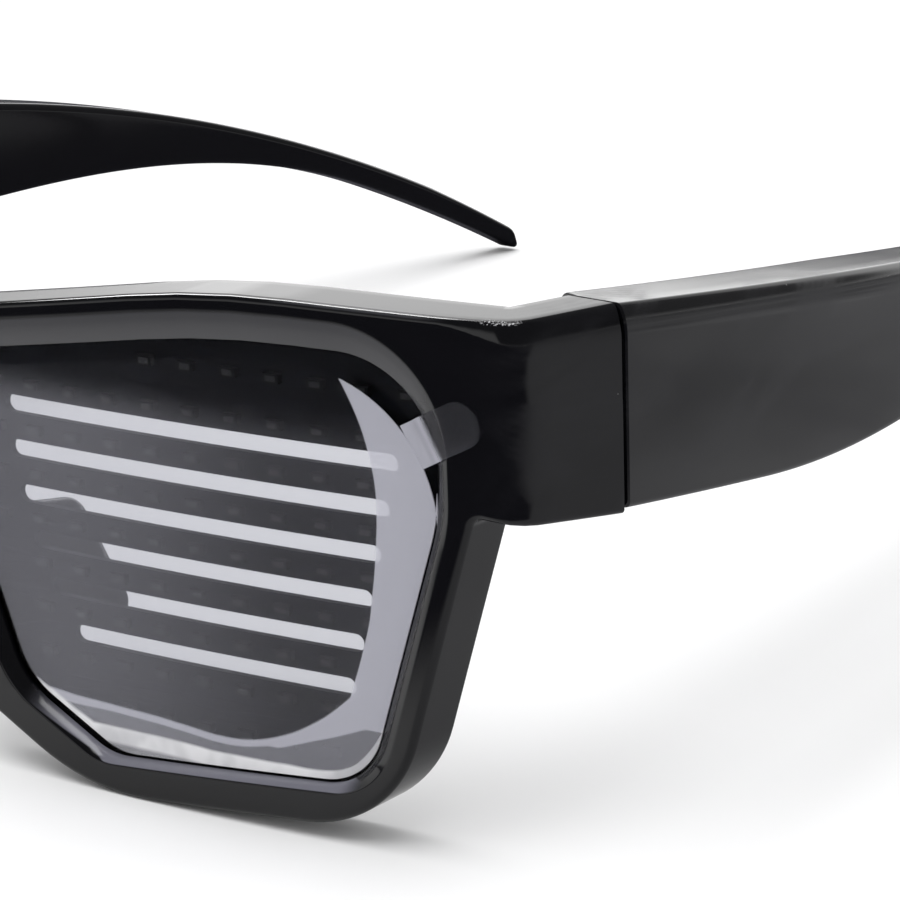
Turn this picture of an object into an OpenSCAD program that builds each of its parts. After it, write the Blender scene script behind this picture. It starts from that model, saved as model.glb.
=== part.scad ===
// LED glasses: a wrapped front that carries two slotted light boards behind
// tinted lenses, and two folding temples with a battery and a control board.
// X points to the right seen from the front, the front faces -Y, Z points up.
// The glasses stand open on the rims and the temple tips, at z = 0.

/* [Front] */
// Overall width, across the hinge seams
front_w = 154; // [150:1:160]
// Height of the brow above the bottom of the rims
front_h = 46.4; // [45:0.2:48]
// Radius of the horizontal wrap of the front face
wrap_r = 355; // [320:5:450]
// Thickness of the front, from face to back cover
front_depth = 5.4; // [5.2:0.1:6.2]
// Length of the level outer part of the brow, on each side
brow_level = 31.6; // [29:0.2:34]
// How far the top edge over the bridge lies below the brow
bridge_drop = 6.6; // [6:0.1:7.2]
// Half length of the level stretch over the bridge
bridge_flat_x = 6; // [5:0.5:7]
// Height of the bridge, from the arch over the nose to its top edge
bridge_h = 8.8; // [8.4:0.1:9.4]
// Width of the arch over the nose
arch_w = 15.6; // [14:0.2:17]
// Width of the nose opening at the foot of its sides
nose_w = 35; // [33:0.2:37]
// Height where the sides of the nose opening end
nose_foot_z = 6.6; // [6:0.1:7.5]
// Distance from the middle to the lowest corner of a rim
rim_low_x = 30.6; // [29:0.2:32]
// How far an end piece stands out beyond the side of its rim
end_out = 7.5; // [7:0.1:8]
// How far the outer bottom corner of a rim lies inside its side
rim_lean = 8.1; // [7:0.1:9]

/* [Windows] */
// Width of the frame face along the brow
brow_band = 1.2; // [1.1:0.1:1.6]
// Width of the frame face at the outer side of a window
side_band = 1.9; // [1.7:0.1:2.4]
// Width of the frame face under a window
bottom_band = 3; // [2.8:0.1:3.6]
// Width of the frame face on the nose side of a window
nose_band = 4.8; // [4.6:0.1:5.4]
// Depth of the bevel round a window
bevel_depth = 1.1; // [0.8:0.05:1.15]
// Width of the bevel under the brow
brow_bevel = 2.8; // [2.4:0.1:3]
// Width of the bevel at the outer side
side_bevel = 1.6; // [1.4:0.1:1.9]
// Width of the bevel at the bottom
bottom_bevel = 0.4; // [0.3:0.1:0.6]
// How far the lens reaches behind the frame
lens_lap = 1.5; // [1.2:0.1:1.6]

/* [Layers of the front] */
// Depth of the lens face below the frame face
lens_face = 1.4; // [1.35:0.05:1.5]
// Thickness of a lens
lens_t = 1.1; // [1:0.05:1.2]
// Depth of the light board's front face
board_face = 3.5; // [3.4:0.05:3.55]
// Thickness of a light board
board_t = 0.6; // [0.5:0.05:0.65]
// Thickness of the back cover
cover_t = 1.2; // [1:0.05:1.2]
// Wall of the frame round the back cover
cover_wall = 1; // [0.8:0.1:1.1]
// Thickness of the protective film
film_t = 0.12; // [0.1:0.01:0.15]
// How far the film's edge stays inside the window
film_margin = 1.3; // [1:0.1:1.6]
// Length of the film's pull tab over the frame
film_tab_l = 4; // [3:0.2:4.4]
// Width of the film's pull tab
film_tab_w = 5.4; // [5:0.2:6]

/* [Lights] */
// Distance between rows of slots
row_pitch = 4; // [3.9:0.05:4.1]
// Height of a slot
slot_h = 1.6; // [1.4:0.1:1.8]
// Number of slots in each board
slot_count = 6; // [5:1:6]
// How far the top slot lies below the brow
top_slot_drop = 13.6; // [13.4:0.1:14]
// Distance from the middle to the start of the top slot
slot_start = 20.9; // [20:0.1:22]
// Distance from the side of a rim to the end of the top slot
slot_side = 8.7; // [8.5:0.1:9.8]
// Distance between columns of lights
column_pitch = 4.2; // [4:0.1:4.4]
// Length of one light
led_l = 1.6; // [1.4:0.1:1.8]
// Width of one light
led_w = 0.8; // [0.6:0.05:1]
// Height of one light above its board
led_h = 0.6; // [0.5:0.05:0.7]

/* [End pieces and hinges] */
// Distance from the front plane to the hinge seam
seam_y = 17.3; // [17:0.1:18]
// Gap at the hinge seam
seam_gap = 0.45; // [0.4:0.05:0.6]
// Thickness of an end piece at the seam
end_t = 5.6; // [5.4:0.1:6]
// Height of an end piece at the seam
end_h = 17.3; // [17:0.1:17.8]
// Angle at which the end pieces flare outwards
flare = 19; // [17:0.5:21]
// Radius of the front's outer corners
corner_r = 3.5; // [3:0.1:4]
// Distance from the outer face to the hinge axis
hinge_in = 6.6; // [6.5:0.1:6.8]
// Radius of the hinge knuckles
knuckle_r = 1.5; // [1.4:0.05:1.6]
// Height of one hinge knuckle
knuckle_h = 1.6; // [1.5:0.05:1.7]
// Radius of the hinge screw
pin_r = 0.66; // [0.6:0.02:0.7]
// Thickness of a hinge leaf
leaf_t = 0.9; // [0.8:0.05:1]
// Length of a hinge leaf
leaf_l = 6.6; // [6:0.1:7]
// Running clearance on radius
fit = 0.04; // [0.03:0.01:0.06]

/* [Temples] */
// Distance from the front plane to the temple tips
reach = 173.5; // [168:0.5:178]
// Height of a temple at the hinge
temple_h = 16.9; // [16.6:0.1:17.4]
// Thickness of a temple at the hinge
temple_t = 7.2; // [7:0.1:7.6]
// Height of a temple's tip
tip_h = 3.2; // [3:0.1:4]
// Thickness of a temple's tip
tip_t = 3.5; // [3:0.1:4]
// Downward slope of the temples
slope = 9.2; // [8.8:0.1:9.6]
// Distance from the front plane to the start of the ear bend
bend_y = 86; // [83:1:89]
// Distance from the front plane to the start of the taper
taper_y = 40; // [38:1:43]
// Length of the taper
taper_l = 106; // [101:1:110]
// Inward angle of the temples at the hinge
toe = 1.7; // [1.5:0.1:2]
// Radius of the temples' inward curve
bow_r = 470; // [450:5:520]
// Length of the temples' inward curve
bow_l = 58; // [54:1:62]
// Wall of a temple round the bay
temple_wall = 1.4; // [1.3:0.05:1.5]
// Thickness of a temple's inner cover
lid_t = 1.2; // [1.1:0.05:1.3]
// Distance from the front plane to the start of the bay
bay_y = 29.2; // [29:0.1:30]
// Length of the bay
bay_l = 34; // [33:0.5:35]

/* [Electronics] */
// Length of the battery
cell_l = 30; // [28:0.5:31]
// Height of the battery
cell_h = 10.5; // [9:0.5:11]
// Thickness of the battery
cell_t = 3.7; // [3.4:0.1:3.8]
// Length of the control board
pcb_l = 28; // [27:0.5:30]
// Height of the control board
pcb_h = 10; // [9:0.5:10.5]
// Thickness of the control board
pcb_t = 0.8; // [0.6:0.1:0.9]
// Length of the largest chip
chip_l = 4; // [3:0.1:4.2]
// Height of the chips above their board
chip_t = 0.9; // [0.6:0.05:1]
// Width of the charging port
port_w = 8.4; // [7.5:0.1:8.6]
// Thickness of the charging port
port_t = 2.8; // [2.6:0.1:3]
// Depth of the charging port
port_d = 6.2; // [5.5:0.1:6.5]
// Radius of the mode button
button_r = 2; // [1.8:0.1:2.2]
// Travel of the mode button
button_travel = 0.4; // [0.3:0.05:0.4]

/* [Hidden] */

$fn = 32;
half_w = front_w / 2;
slack = 0.05;
big = 60;
arc_step = 9;

// Places of the outline, seen from the front, from the nose round to the brow
end_bottom_z = front_h - end_h;
rim_side = [half_w - end_out, end_bottom_z];
rim_top = [half_w - end_out, front_h];
rim_corner = [rim_side[0] - rim_lean, 1.9];
rim_low = [rim_low_x, -0.5];
bridge_top_z = front_h - bridge_drop;
arch_z = bridge_top_z - bridge_h;
top_slot_z = front_h - top_slot_drop;
brow_knee = [half_w - brow_level, front_h];
bridge_knee = [bridge_flat_x, bridge_top_z];
brow_slope = bridge_drop / (brow_knee[0] - bridge_flat_x);
nose_foot = [nose_w / 2, nose_foot_z];
nose_knee = [arch_w / 2 + 3.5, arch_z - 7];
arch_corner = [arch_w / 2, arch_z];
eye_top_nose = [9.5, bridge_top_z + (9.5 - bridge_flat_x) * brow_slope];

// Closed outline of one eye, anticlockwise, and the widths that inset it
eye = [rim_low, rim_corner, rim_side, rim_top, brow_knee, eye_top_nose, nose_knee, nose_foot];
eye_r = [6, 7, 15, 10.5, 90, 6, 15, 8];
face_bands = [bottom_band, side_band, side_band + 0.1, brow_band, brow_band, nose_band + 0.2,
    nose_band - 0.2, nose_band - 1.5];
bevel_bands = [bottom_bevel, side_bevel, side_bevel, brow_bevel, brow_bevel, 1.5, 1, 0.6];

mask_half = [arch_corner, nose_knee, nose_foot, rim_low, rim_corner, rim_side, rim_top,
    brow_knee, bridge_knee];
mask_r = [6, 15, 9, 22, 12.2, 12, 2, 95, 30];
end_half = [arch_corner, nose_knee, nose_foot, rim_low, rim_corner, rim_side,
    [half_w + 2, end_bottom_z], [half_w + 2, front_h], brow_knee, bridge_knee];
end_r = [6, 15, 9, 22, 12.2, 1, 0.1, 0.1, 95, 30];

// Plain geometry
function unit(v) = v / norm(v);
function turn(a, b) = a[0] * b[1] - a[1] * b[0];
function spin(v, a) = [v[0] * cos(a) - v[1] * sin(a), v[0] * sin(a) + v[1] * cos(a)];
function smooth(t) = let (c = min(max(t, 0), 1)) c * c * (3 - 2 * c);
function flip(points) = [for (i = [len(points) - 1:-1:0]) [-points[i][0], points[i][1]]];
function back(list) = [for (i = [len(list) - 1:-1:0]) list[i]];
function meet(p, a, q, b) = p + a * turn(q - p, b) / turn(a, b);

// Moves each edge of an anticlockwise outline inwards by its own width
function inset(v, d) = let (n = len(v)) [for (i = [0:n - 1])
    let (h = (i + n - 1) % n, j = (i + 1) % n,
        a = unit(v[i] - v[h]), b = unit(v[j] - v[i]),
        p = v[i] + [-a[1], a[0]] * d[h], q = v[i] + [-b[1], b[0]] * d[i])
    abs(turn(a, b)) < 0.001 ? p : meet(p, a, q, b)];
function even(v, d) = inset(v, [for (p = v) d]);

// Rounds each corner of an outline by its own radius
function rounded(v, r) = let (n = len(v)) [for (i = [0:n - 1])
    let (a = unit(v[(i + n - 1) % n] - v[i]), b = unit(v[(i + 1) % n] - v[i]),
        half = acos(a * b) / 2, sweep = 180 - 2 * half,
        way = turn(-a, b) > 0 ? 1 : -1, steps = max(2, ceil(sweep / arc_step)),
        c = v[i] + unit(a + b) * r[i] / sin(half),
        s = v[i] + a * r[i] / tan(half) - c)
    each [for (k = [0:steps]) c + spin(s, way * sweep * k / steps)]];

// The wrap of the front, seen from above
function wrap(x) = wrap_r - sqrt(wrap_r * wrap_r - x * x);
flare_dir = [sin(flare), cos(flare)];
flare_in = [-cos(flare), sin(flare)];
seam_out = [half_w, seam_y];
seam_in = [half_w - end_t, seam_y];
function reach_to_arc(p, r, c) = let (v = p - c, k = v * flare_dir)
    k + sqrt(k * k - v * v + r * r);
corner_c = let (p = seam_out + flare_in * corner_r)
    p - flare_dir * reach_to_arc(p, wrap_r - corner_r, [0, wrap_r]);
corner_start = [0, wrap_r] + unit(corner_c - [0, wrap_r]) * wrap_r;
corner_from = atan2(corner_start[1] - corner_c[1], corner_start[0] - corner_c[0]);
corner_sweep = -flare - corner_from;
face_steps = 14;
function face_row(x_end, depth) = [for (k = [0:face_steps])
    let (x = x_end * k / face_steps) [x, wrap(x) + depth]];
function corner_row() = [for (k = [1:5])
    corner_c + corner_r * [cos(corner_from + corner_sweep * k / 5),
        sin(corner_from + corner_sweep * k / 5)]];
inner_corner = seam_in - flare_dir * reach_to_arc(seam_in, wrap_r, [0, wrap_r + front_depth]);
plan_half = concat(face_row(corner_start[0], 0), corner_row(), [seam_out, seam_in],
    back(face_row(inner_corner[0], front_depth)));

module both_sides() {
    children();
    mirror([1, 0, 0]) children();
}

// Stands a drawing in X and Z upright and gives it depth along Y
module upright(y0, y1) {
    translate([0, y1, 0]) rotate([90, 0, 0]) linear_extrude(y1 - y0) children();
}

// A slab that follows the wrap between two depths
module wrapped(d0, d1, x0 = -half_w, x1 = half_w) {
    steps = 28;
    xs = [for (k = [0:steps]) x0 + (x1 - x0) * k / steps];
    points = concat([for (x = xs) [x, wrap(x) + d0]], [for (x = back(xs)) [x, wrap(x) + d1]]);
    translate([0, 0, -5]) linear_extrude(front_h + 10) polygon(points);
}

// A drawing in X and Z, cut out of the wrapped slab between two depths
module layer(d0, d1, x0 = -half_w, x1 = half_w) {
    intersection() {
        wrapped(d0, d1, x0, x1);
        upright(-10, 40) children();
    }
}

// A strip of constant width along a path, seen from above
module strip(path, w) {
    n = len(path);
    dirs = [for (i = [0:n - 1])
        unit(path[min(i + 1, n - 1)] - path[max(i - 1, 0)])];
    side = [for (i = [0:n - 1]) [-dirs[i][1], dirs[i][0]] * w / 2];
    polygon(concat([for (i = [0:n - 1]) path[i] + side[i]],
        [for (i = [n - 1:-1:0]) path[i] - side[i]]));
}

// Outlines of a window
bevel_outer = inset(eye, face_bands);
window = inset(bevel_outer, bevel_bands);
window_r = eye_r - [0, 0.5, 0, 1.5, 0, 0, 0, 0];
pocket = even(window, -lens_lap);
pocket_r = window_r + [for (p = window) lens_lap];
lens_outline = even(window, slack - lens_lap);
cover_hole = even(window, -0.3);

function ring(v, r, depth) = [for (p = rounded(v, r)) [p[0], wrap(p[0]) + depth, p[1]]];
function flat_ring(v, r, y) = [for (p = rounded(v, r)) [p[0], y, p[1]]];

// Closed solid between rings that have as many points each
module loft(rings) {
    n = len(rings[0]);
    last = (len(rings) - 1) * n;
    sides = [for (k = [0:len(rings) - 2], i = [0:n - 1]) let (j = (i + 1) % n)
        each [[k * n + i, k * n + j, k * n + n + j], [k * n + i, k * n + n + j, k * n + n + i]]];
    caps = [[for (i = [n - 1:-1:0]) i], [for (i = [0:n - 1]) last + i]];
    polyhedron([for (r = rings) each r], concat(sides, caps), convexity = 4);
}

// The cut that leaves a window with its bevel
module window_cut() {
    grow = even(bevel_outer, -0.001);
    loft([flat_ring(grow, eye_r, -4), ring(grow, eye_r, 0), ring(window, window_r, bevel_depth),
        flat_ring(window, window_r, 30)]);
}

// Hinge places
hinge = [half_w - hinge_in, seam_y + 0.2];
hinge_z = front_h - end_h / 2;
knuckle_gap = 0.06;
hinge_h = 5 * knuckle_h + 4 * knuckle_gap;
knuckle_room = 0.25;
leaf_x = half_w - hinge_in + knuckle_r + 1.1;
web_gap = 0.15;
flex_z = end_bottom_z + 1.5;
flex_w = 2.2;
flex_t = 0.3;
frame_leaf_at = [leaf_x, seam_y - web_gap];
leaf_screw_r = 0.6;
leaf_head_z = 0.95;
screw_head_r = 1;
screw_head_h = 0.5;

module hinge_column(r, z0, h) {
    translate([hinge[0], hinge[1], hinge_z + z0]) cylinder(r = r, h = h);
}

function knuckle_z(i) = -hinge_h / 2 + i * (knuckle_h + knuckle_gap);

// Knuckles in the order given, with the web that joins them to the leaf
module knuckles(order, web_y, web_way) {
    for (i = order)
        difference() {
            union() {
                hinge_column(knuckle_r, knuckle_z(i), knuckle_h);
                translate([hinge[0], min(web_y, web_y + web_way * leaf_t), hinge_z + knuckle_z(i)])
                    cube([leaf_x - hinge[0] + leaf_t / 2, leaf_t, knuckle_h]);
            }
            hinge_column(pin_r + fit, knuckle_z(i) - 1, knuckle_h + 2);
        }
}

// Flat part of the leaf in an end piece, grown by a clearance
module frame_leaf_plate(c) {
    translate([frame_leaf_at[0], frame_leaf_at[1], hinge_z - hinge_h / 2 - c])
        rotate([0, 0, -flare]) translate([-leaf_t / 2 - c, -leaf_l - c, 0])
            cube([leaf_t + 2 * c, leaf_l + c, hinge_h + 2 * c]);
}

// Axis of the screw that holds the leaf in an end piece
module at_frame_leaf_screw() {
    translate([frame_leaf_at[0], frame_leaf_at[1], hinge_z]) rotate([0, 0, -flare])
        translate([0, -leaf_l * 0.4, 0]) rotate([0, 90, 0]) children();
}

// Path of the flat cable from a light board to the hinge seam
board_edge_x = rim_side[0] - side_band - 0.1 - side_bevel + lens_lap;
flex_in = 2.8;
end_turn_x = rim_side[0] + 0.5;
end_path = [[board_edge_x + 0.1, wrap(board_edge_x) + board_face + 0.25],
    [end_turn_x, wrap(end_turn_x) + board_face + 0.55],
    [half_w - 3.6, seam_y - 2.6], [half_w - flex_in, seam_y - 0.1]];

module end_flex() {
    color("peru") translate([0, 0, flex_z]) linear_extrude(flex_w) strip(end_path, flex_t);
}

module end_flex_channel() {
    path = [end_path[0] - [1, 0.2], end_path[1], end_path[2], end_path[3] + [0, 1]];
    translate([0, 0, flex_z - 0.15]) linear_extrude(flex_w + 0.3) strip(path, flex_t + 0.7);
}

// Screws that hold the back cover: bridge, brow corner and nose knee
screw_spots = [[3.5, bridge_top_z - 2.8], rim_top - [3.4, 3.2],
    nose_knee + [2.3, 1.5]];
cover_screw_r = 0.55;
cover_screw_l = 2.8;

module at_cover_screws() {
    for (p = screw_spots) translate([p[0], wrap(p[0]) + front_depth - 0.1, p[1]])
        rotate([90, 0, 0]) children();
}

module cover_screws() {
    color("silver") both_sides() at_cover_screws() {
        difference() {
            cylinder(r = screw_head_r, h = screw_head_h);
            translate([-0.6, -0.12, -1]) cube([1.2, 0.24, 1.25]);
            translate([-0.12, -0.6, -1]) cube([0.24, 1.2, 1.25]);
        }
        translate([0, 0, screw_head_h]) cylinder(r = cover_screw_r, h = cover_screw_l);
    }
}

cover_face = front_depth - cover_t;
ribbon_z = arch_z + 1.4;
ribbon_h = 2.2;

// Room for the flat cable over the bridge
module bridge_channel() {
    layer(board_face - 0.1, cover_face + 0.1, -18, 18)
        translate([-18, ribbon_z - 0.2]) square([36, ribbon_h + 0.4]);
}

module front_blank() {
    intersection() {
        upright(-1, seam_y + 1) polygon(rounded(concat(end_half, flip(end_half)),
            concat(end_r, back(end_r))));
        linear_extrude(front_h + 1)
            polygon(concat(plan_half, flip(plan_half)));
    }
}

module front_frame() {
    color([0.07, 0.07, 0.08]) difference() {
        front_blank();
        both_sides() {
            window_cut();
            layer(lens_face, 20, 2, half_w - 5) polygon(rounded(pocket, pocket_r));
            translate([rim_side[0] + 0.1, seam_y, end_bottom_z]) rotate([-6, 0, 0])
                translate([0, -20, -4]) cube([10, 40, 4]);
            hinge_column(knuckle_r + knuckle_room, -hinge_h / 2 - slack, hinge_h + 1);
            translate([hinge[0], seam_y - web_gap - leaf_t - slack, hinge_z - hinge_h / 2 - slack])
                cube([leaf_x - hinge[0] + leaf_t / 2 + slack, 3, hinge_h + 2 * slack]);
            frame_leaf_plate(slack);
            at_frame_leaf_screw() {
                translate([0, 0, -4]) cylinder(r = leaf_screw_r + slack, h = 5.6);
                translate([0, 0, -4 - leaf_head_z]) cylinder(r = screw_head_r + slack, h = 4);
            }
            end_flex_channel();
            at_cover_screws() cylinder(r = cover_screw_r + slack,
                h = screw_head_h + cover_screw_l + slack);
        }
        layer(cover_face, 20) polygon(rounded(even(concat(mask_half, flip(mask_half)), cover_wall),
            concat(mask_r, back(mask_r))));
        bridge_channel();
    }
}

module back_cover() {
    full = even(concat(mask_half, flip(mask_half)), cover_wall + slack);
    color([0.1, 0.1, 0.11]) difference() {
        layer(cover_face, front_depth) polygon(rounded(full, concat(mask_r, back(mask_r))));
        both_sides() {
            upright(-1, 40) polygon(rounded(cover_hole, window_r));
            at_cover_screws() {
                translate([0, 0, -1]) cylinder(r = screw_head_r + slack, h = screw_head_h + 1);
                cylinder(r = cover_screw_r + slack, h = 4);
            }
        }
    }
}

module bridge_flex() {
    half = eye_top_nose[0] + 5.3;
    color("peru") layer(board_face + 0.1, board_face + 0.1 + flex_t, -half, half)
        translate([-half, ribbon_z]) square([2 * half, ribbon_h]);
}

// Lens plate with a rib on its back that keeps the board away
module lens() {
    color([0.25, 0.28, 0.33, 0.5]) {
        layer(lens_face, lens_face + lens_t, 2, half_w - 5) polygon(rounded(lens_outline, pocket_r));
        layer(lens_face + lens_t / 2, board_face - slack, 2, half_w - 5) difference() {
            polygon(rounded(lens_outline, pocket_r));
            polygon(rounded(even(lens_outline, 1.2), window_r));
        }
    }
}

// Film over the lens, with a tab that climbs over the bevel
film_bands = [0.3, 0.3, 0.3, film_margin + 0.4, film_margin + 0.4, 0.8, 0.8, 0.8];
film_gap = 0.03;
tab_root = [rim_top[0] - 6.4, top_slot_z + 2.4];
tab_turn = 29;

module film() {
    outline = inset(window, film_bands);
    depth = lens_face - film_gap - film_t;
    tip = tab_root[0] + 2.1 + film_tab_l;
    tab_t = 0.5 * film_t;
    path = concat([for (x = [tab_root[0] - 4, tab_root[0] - 0.3]) [x, wrap(x) + depth + tab_t]],
        [for (x = [tab_root[0] + 2.4:1:tip + 2]) [x, wrap(x) - film_gap - tab_t / 2]]);
    color([0.8, 0.85, 0.9, 0.4]) {
        layer(depth, depth + film_t, 2, half_w - 5)
            polygon(rounded(outline, window_r - film_bands));
        intersection() {
            linear_extrude(front_h) strip(path, tab_t);
            upright(-2, 20) translate(tab_root) rotate(tab_turn)
                polygon(rounded([[-3, -film_tab_w * 0.36], [film_tab_l + 3.3, -film_tab_w * 0.36],
                    [film_tab_l + 3.3, film_tab_w * 0.36], [-3, film_tab_w * 0.36]],
                    [0.1, 1.7, 1.7, 0.1]));
        }
    }
}

// Slots run between two slanted ends that follow the window
slot_right = rim_side[0] - slot_side;

module slots() {
    for (i = [0:slot_count - 1]) {
        z = top_slot_z - i * row_pitch;
        x0 = slot_start + 0.25 * i * i;
        x1 = slot_right - 0.94 * i;
        half = slot_h / 2;
        polygon(rounded([[x0, z - half], [x1, z - half], [x1, z + half], [x0, z + half]],
            [for (k = [0:3]) half - 0.02]));
    }
}

module led_board() {
    color([0.08, 0.09, 0.1]) layer(board_face, board_face + board_t, 2, half_w - 5) difference() {
        polygon(rounded(lens_outline, pocket_r));
        slots();
    }
}

// True where a point lies inside an outline by at least m
function inside(p, v, m) = min([for (i = [0:len(v) - 1])
    let (e = unit(v[(i + 1) % len(v)] - v[i])) turn(e, p - v[i])]) >= m;
column_mid = (slot_start + slot_right) / 2 + 0.25;

module leds() {
    for (row = [0:slot_count + 2], column = [-6:6]) {
        x = column_mid + column * column_pitch;
        z = top_slot_z + (1.5 - row) * row_pitch;
        if (inside([x, z], window, 2))
            color([0.85, 0.85, 0.8]) translate([x, wrap(x) + board_face - 0.03, z])
                rotate([0, 0, asin(x / wrap_r)])
                    translate([-led_l / 2, -led_h, -led_w / 2]) cube([led_l, led_h, led_w]);
    }
}

// Pad behind the nose side of a rim, cut to sit on the back cover
pad_top = nose_knee + [4, -4];
pad_foot = nose_foot + [1.4, 6];
pad_r = 1.7;
pad_l = 9.6;

module nose_pad() {
    base = wrap(pad_top[0]) + front_depth;
    ends = [[pad_top, 0, pad_r], [pad_foot, 0, pad_r],
        [pad_top + [0.4, -2], pad_l, pad_r * 1.18], [pad_foot + [1.4, -1.6], pad_l, pad_r * 1.18]];
    color([0.12, 0.12, 0.13]) difference() {
        hull() for (e = ends)
            translate([e[0][0], base + e[1], e[0][1]]) sphere(r = e[2], $fn = 20);
        wrapped(-10, front_depth + slack);
    }
}

module frame_leaf() {
    color("silver") {
        knuckles([0, 2, 4], seam_y - web_gap, -1);
        difference() {
            frame_leaf_plate(0);
            at_frame_leaf_screw() translate([0, 0, -2]) cylinder(r = leaf_screw_r + fit, h = 4);
        }
    }
}

// Small screw with a slotted head, head down at the origin
module small_screw(length) {
    difference() {
        cylinder(r = screw_head_r, h = screw_head_h);
        translate([-big / 2, -0.12, -0.01]) cube([big, 0.24, 0.25]);
    }
    translate([0, 0, screw_head_h - 0.01]) cylinder(r = leaf_screw_r, h = length);
}

module frame_leaf_screw() {
    color("silver") at_frame_leaf_screw() translate([0, 0, -leaf_head_z - screw_head_h])
        small_screw(2.3);
}

pin_head_r = 1.15;
pin_head_h = 0.6;

module hinge_pin() {
    color("silver") {
        hinge_column(pin_r, -hinge_h / 2, hinge_h + slack);
        difference() {
            hinge_column(pin_head_r, hinge_h / 2 + 0.02, pin_head_h);
            translate([hinge[0] - 2, hinge[1] - 0.12, hinge_z + hinge_h / 2 + 0.4])
                cube([4, 0.24, 1]);
        }
    }
}

// Shape of a temple: outer face, thickness, top edge and height
temple_y = seam_y + seam_gap;
function t_out(y) = let (q = y - seam_y, c = min(max(q, 0), bow_l))
    half_w - tan(toe) * q - c * c / (2 * bow_r) - max(q - bow_l, 0) * bow_l / bow_r;
function t_thick(y) = temple_t + (tip_t - temple_t) * min(max((y - 60) / 100, 0), 1);
bend_r = (reach - bend_y) * (reach - bend_y)
    / (2 * (front_h - tan(slope) * (reach - seam_y) - tip_h));
function t_top(y) = front_h - tan(slope) * (y - seam_y) - pow(max(y - bend_y, 0), 2) / (2 * bend_r);
function t_high(y) = temple_h - (temple_h - tip_h) * smooth((y - taper_y) / taper_l);
function t_mid(y) = t_top(y) - t_high(y) / 2;
function t_yaw(y) = toe + atan((y - seam_y) / bow_r);
function rows(y0, y1) = let (n = ceil((y1 - y0) / 4)) [for (k = [0:n]) y0 + (y1 - y0) * k / n];

// Part of a temple between two stations, inset from its edges and faces
module temple_slab(y0, y1, rim = 0, out = 0, in = 0, skin = 0, cut = 0) {
    ys = rows(y0, y1);
    intersection() {
        rotate([90, 0, 90]) linear_extrude(half_w + 5) polygon(concat(
            [for (y = ys) [y, t_top(y) - t_high(y) + rim]],
            [for (y = back(rows(y0, y1 - cut))) [y, t_top(y) - rim]]));
        linear_extrude(front_h + 5) polygon(concat(
            [for (y = ys) [skin > 0 ? t_out(y) - t_thick(y) + skin : t_out(y) - out, y]],
            [for (y = back(ys)) [t_out(y) - t_thick(y) + in, y]]));
    }
}

// Places children on the outer face at a station, x outwards and y along
module in_temple(y) {
    translate([t_out(y), y, t_mid(y)]) rotate([0, 0, t_yaw(y)]) rotate([-slope, 0, 0]) children();
}

lid_y0 = bay_y - 3.7;
lid_y1 = bay_y + bay_l + 5;
lid_rim = 1;
bay_mid = bay_y + bay_l / 2;
leaf_y = temple_y + web_gap;
temple_screw_y = leaf_y + leaf_l * 0.56;

module at_temple_leaf_screw() {
    translate([t_out(temple_screw_y) - temple_t, temple_screw_y, hinge_z]) rotate([0, 90, 0])
        children();
}

module at_lid_screws() {
    for (y = [bay_y - 1.9, lid_y1 - 2.4]) in_temple(y)
        translate([0.05 - t_thick(y), 0, 0]) rotate([0, 90, 0]) children();
}

function temple_path(length) = let (y1 = bay_mid - length / 2 - 0.9)
    [[half_w - flex_in, temple_y + 0.1], [t_out(bay_y) - flex_in + 0.4, bay_y],
        [t_out(y1) - temple_wall - 0.7, y1]];

module temple_flex(length) {
    color("peru") translate([0, 0, flex_z]) linear_extrude(flex_w)
        strip(temple_path(length), flex_t);
}

module temple_shell(port = false) {
    color([0.07, 0.07, 0.08]) difference() {
        temple_slab(temple_y, reach, cut = 1.2);
        linear_extrude(front_h + 5) polygon([[half_w - end_t + 0.4, temple_y - 1],
            [half_w - end_t + 0.4, temple_y], [half_w - temple_t - 1, temple_y + 1.6],
            [half_w - temple_t - 2, temple_y - 1]]);
        temple_slab(bay_y, bay_y + bay_l, rim = temple_wall, out = temple_wall, in = -5);
        temple_slab(lid_y0, lid_y1, rim = lid_rim, skin = lid_t, in = -5);
        hinge_column(knuckle_r + knuckle_room, -hinge_h / 2 - slack, hinge_h + 1);
        translate([hinge[0], temple_y - 1, hinge_z - hinge_h / 2 - slack])
            cube([leaf_x - hinge[0] + leaf_t / 2 + slack, 1 + web_gap + leaf_t + slack,
                hinge_h + 2 * slack]);
        translate([leaf_x - leaf_t / 2 - slack, temple_y - 1, hinge_z - hinge_h / 2 - slack])
            cube([leaf_t + 2 * slack, 1 + web_gap + leaf_l + slack, hinge_h + 2 * slack]);
        at_temple_leaf_screw() {
            translate([0, 0, -1]) cylinder(r = leaf_screw_r + slack, h = 6.2);
            translate([0, 0, -1]) cylinder(r = screw_head_r + slack, h = 1.05 + screw_head_h);
        }
        at_lid_screws() cylinder(r = leaf_screw_r + slack, h = 3.6);
        translate([0, 0, flex_z - 0.15]) linear_extrude(flex_w + 0.3)
            strip([[half_w - flex_in, temple_y - 1], [t_out(bay_y) - flex_in + 0.4, bay_y + 0.5]],
                flex_t + 0.4);
        if (port) at_port(0.2) cube([port_t + 0.4, port_w + 0.4, 4]);
    }
}

module temple_lid(button = false) {
    color([0.1, 0.1, 0.11]) difference() {
        temple_slab(lid_y0 + slack, lid_y1 - slack, rim = lid_rim + slack, skin = lid_t - slack);
        at_lid_screws() {
            translate([0, 0, -1]) cylinder(r = screw_head_r + slack, h = 1 + screw_head_h + slack);
            cylinder(r = leaf_screw_r + slack, h = 3);
        }
        if (button) at_button() translate([0, 0, -2]) cylinder(r = button_r + 0.15, h = 5);
    }
}

module lid_screws() {
    color("silver") at_lid_screws() small_screw(2.8);
}

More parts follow.
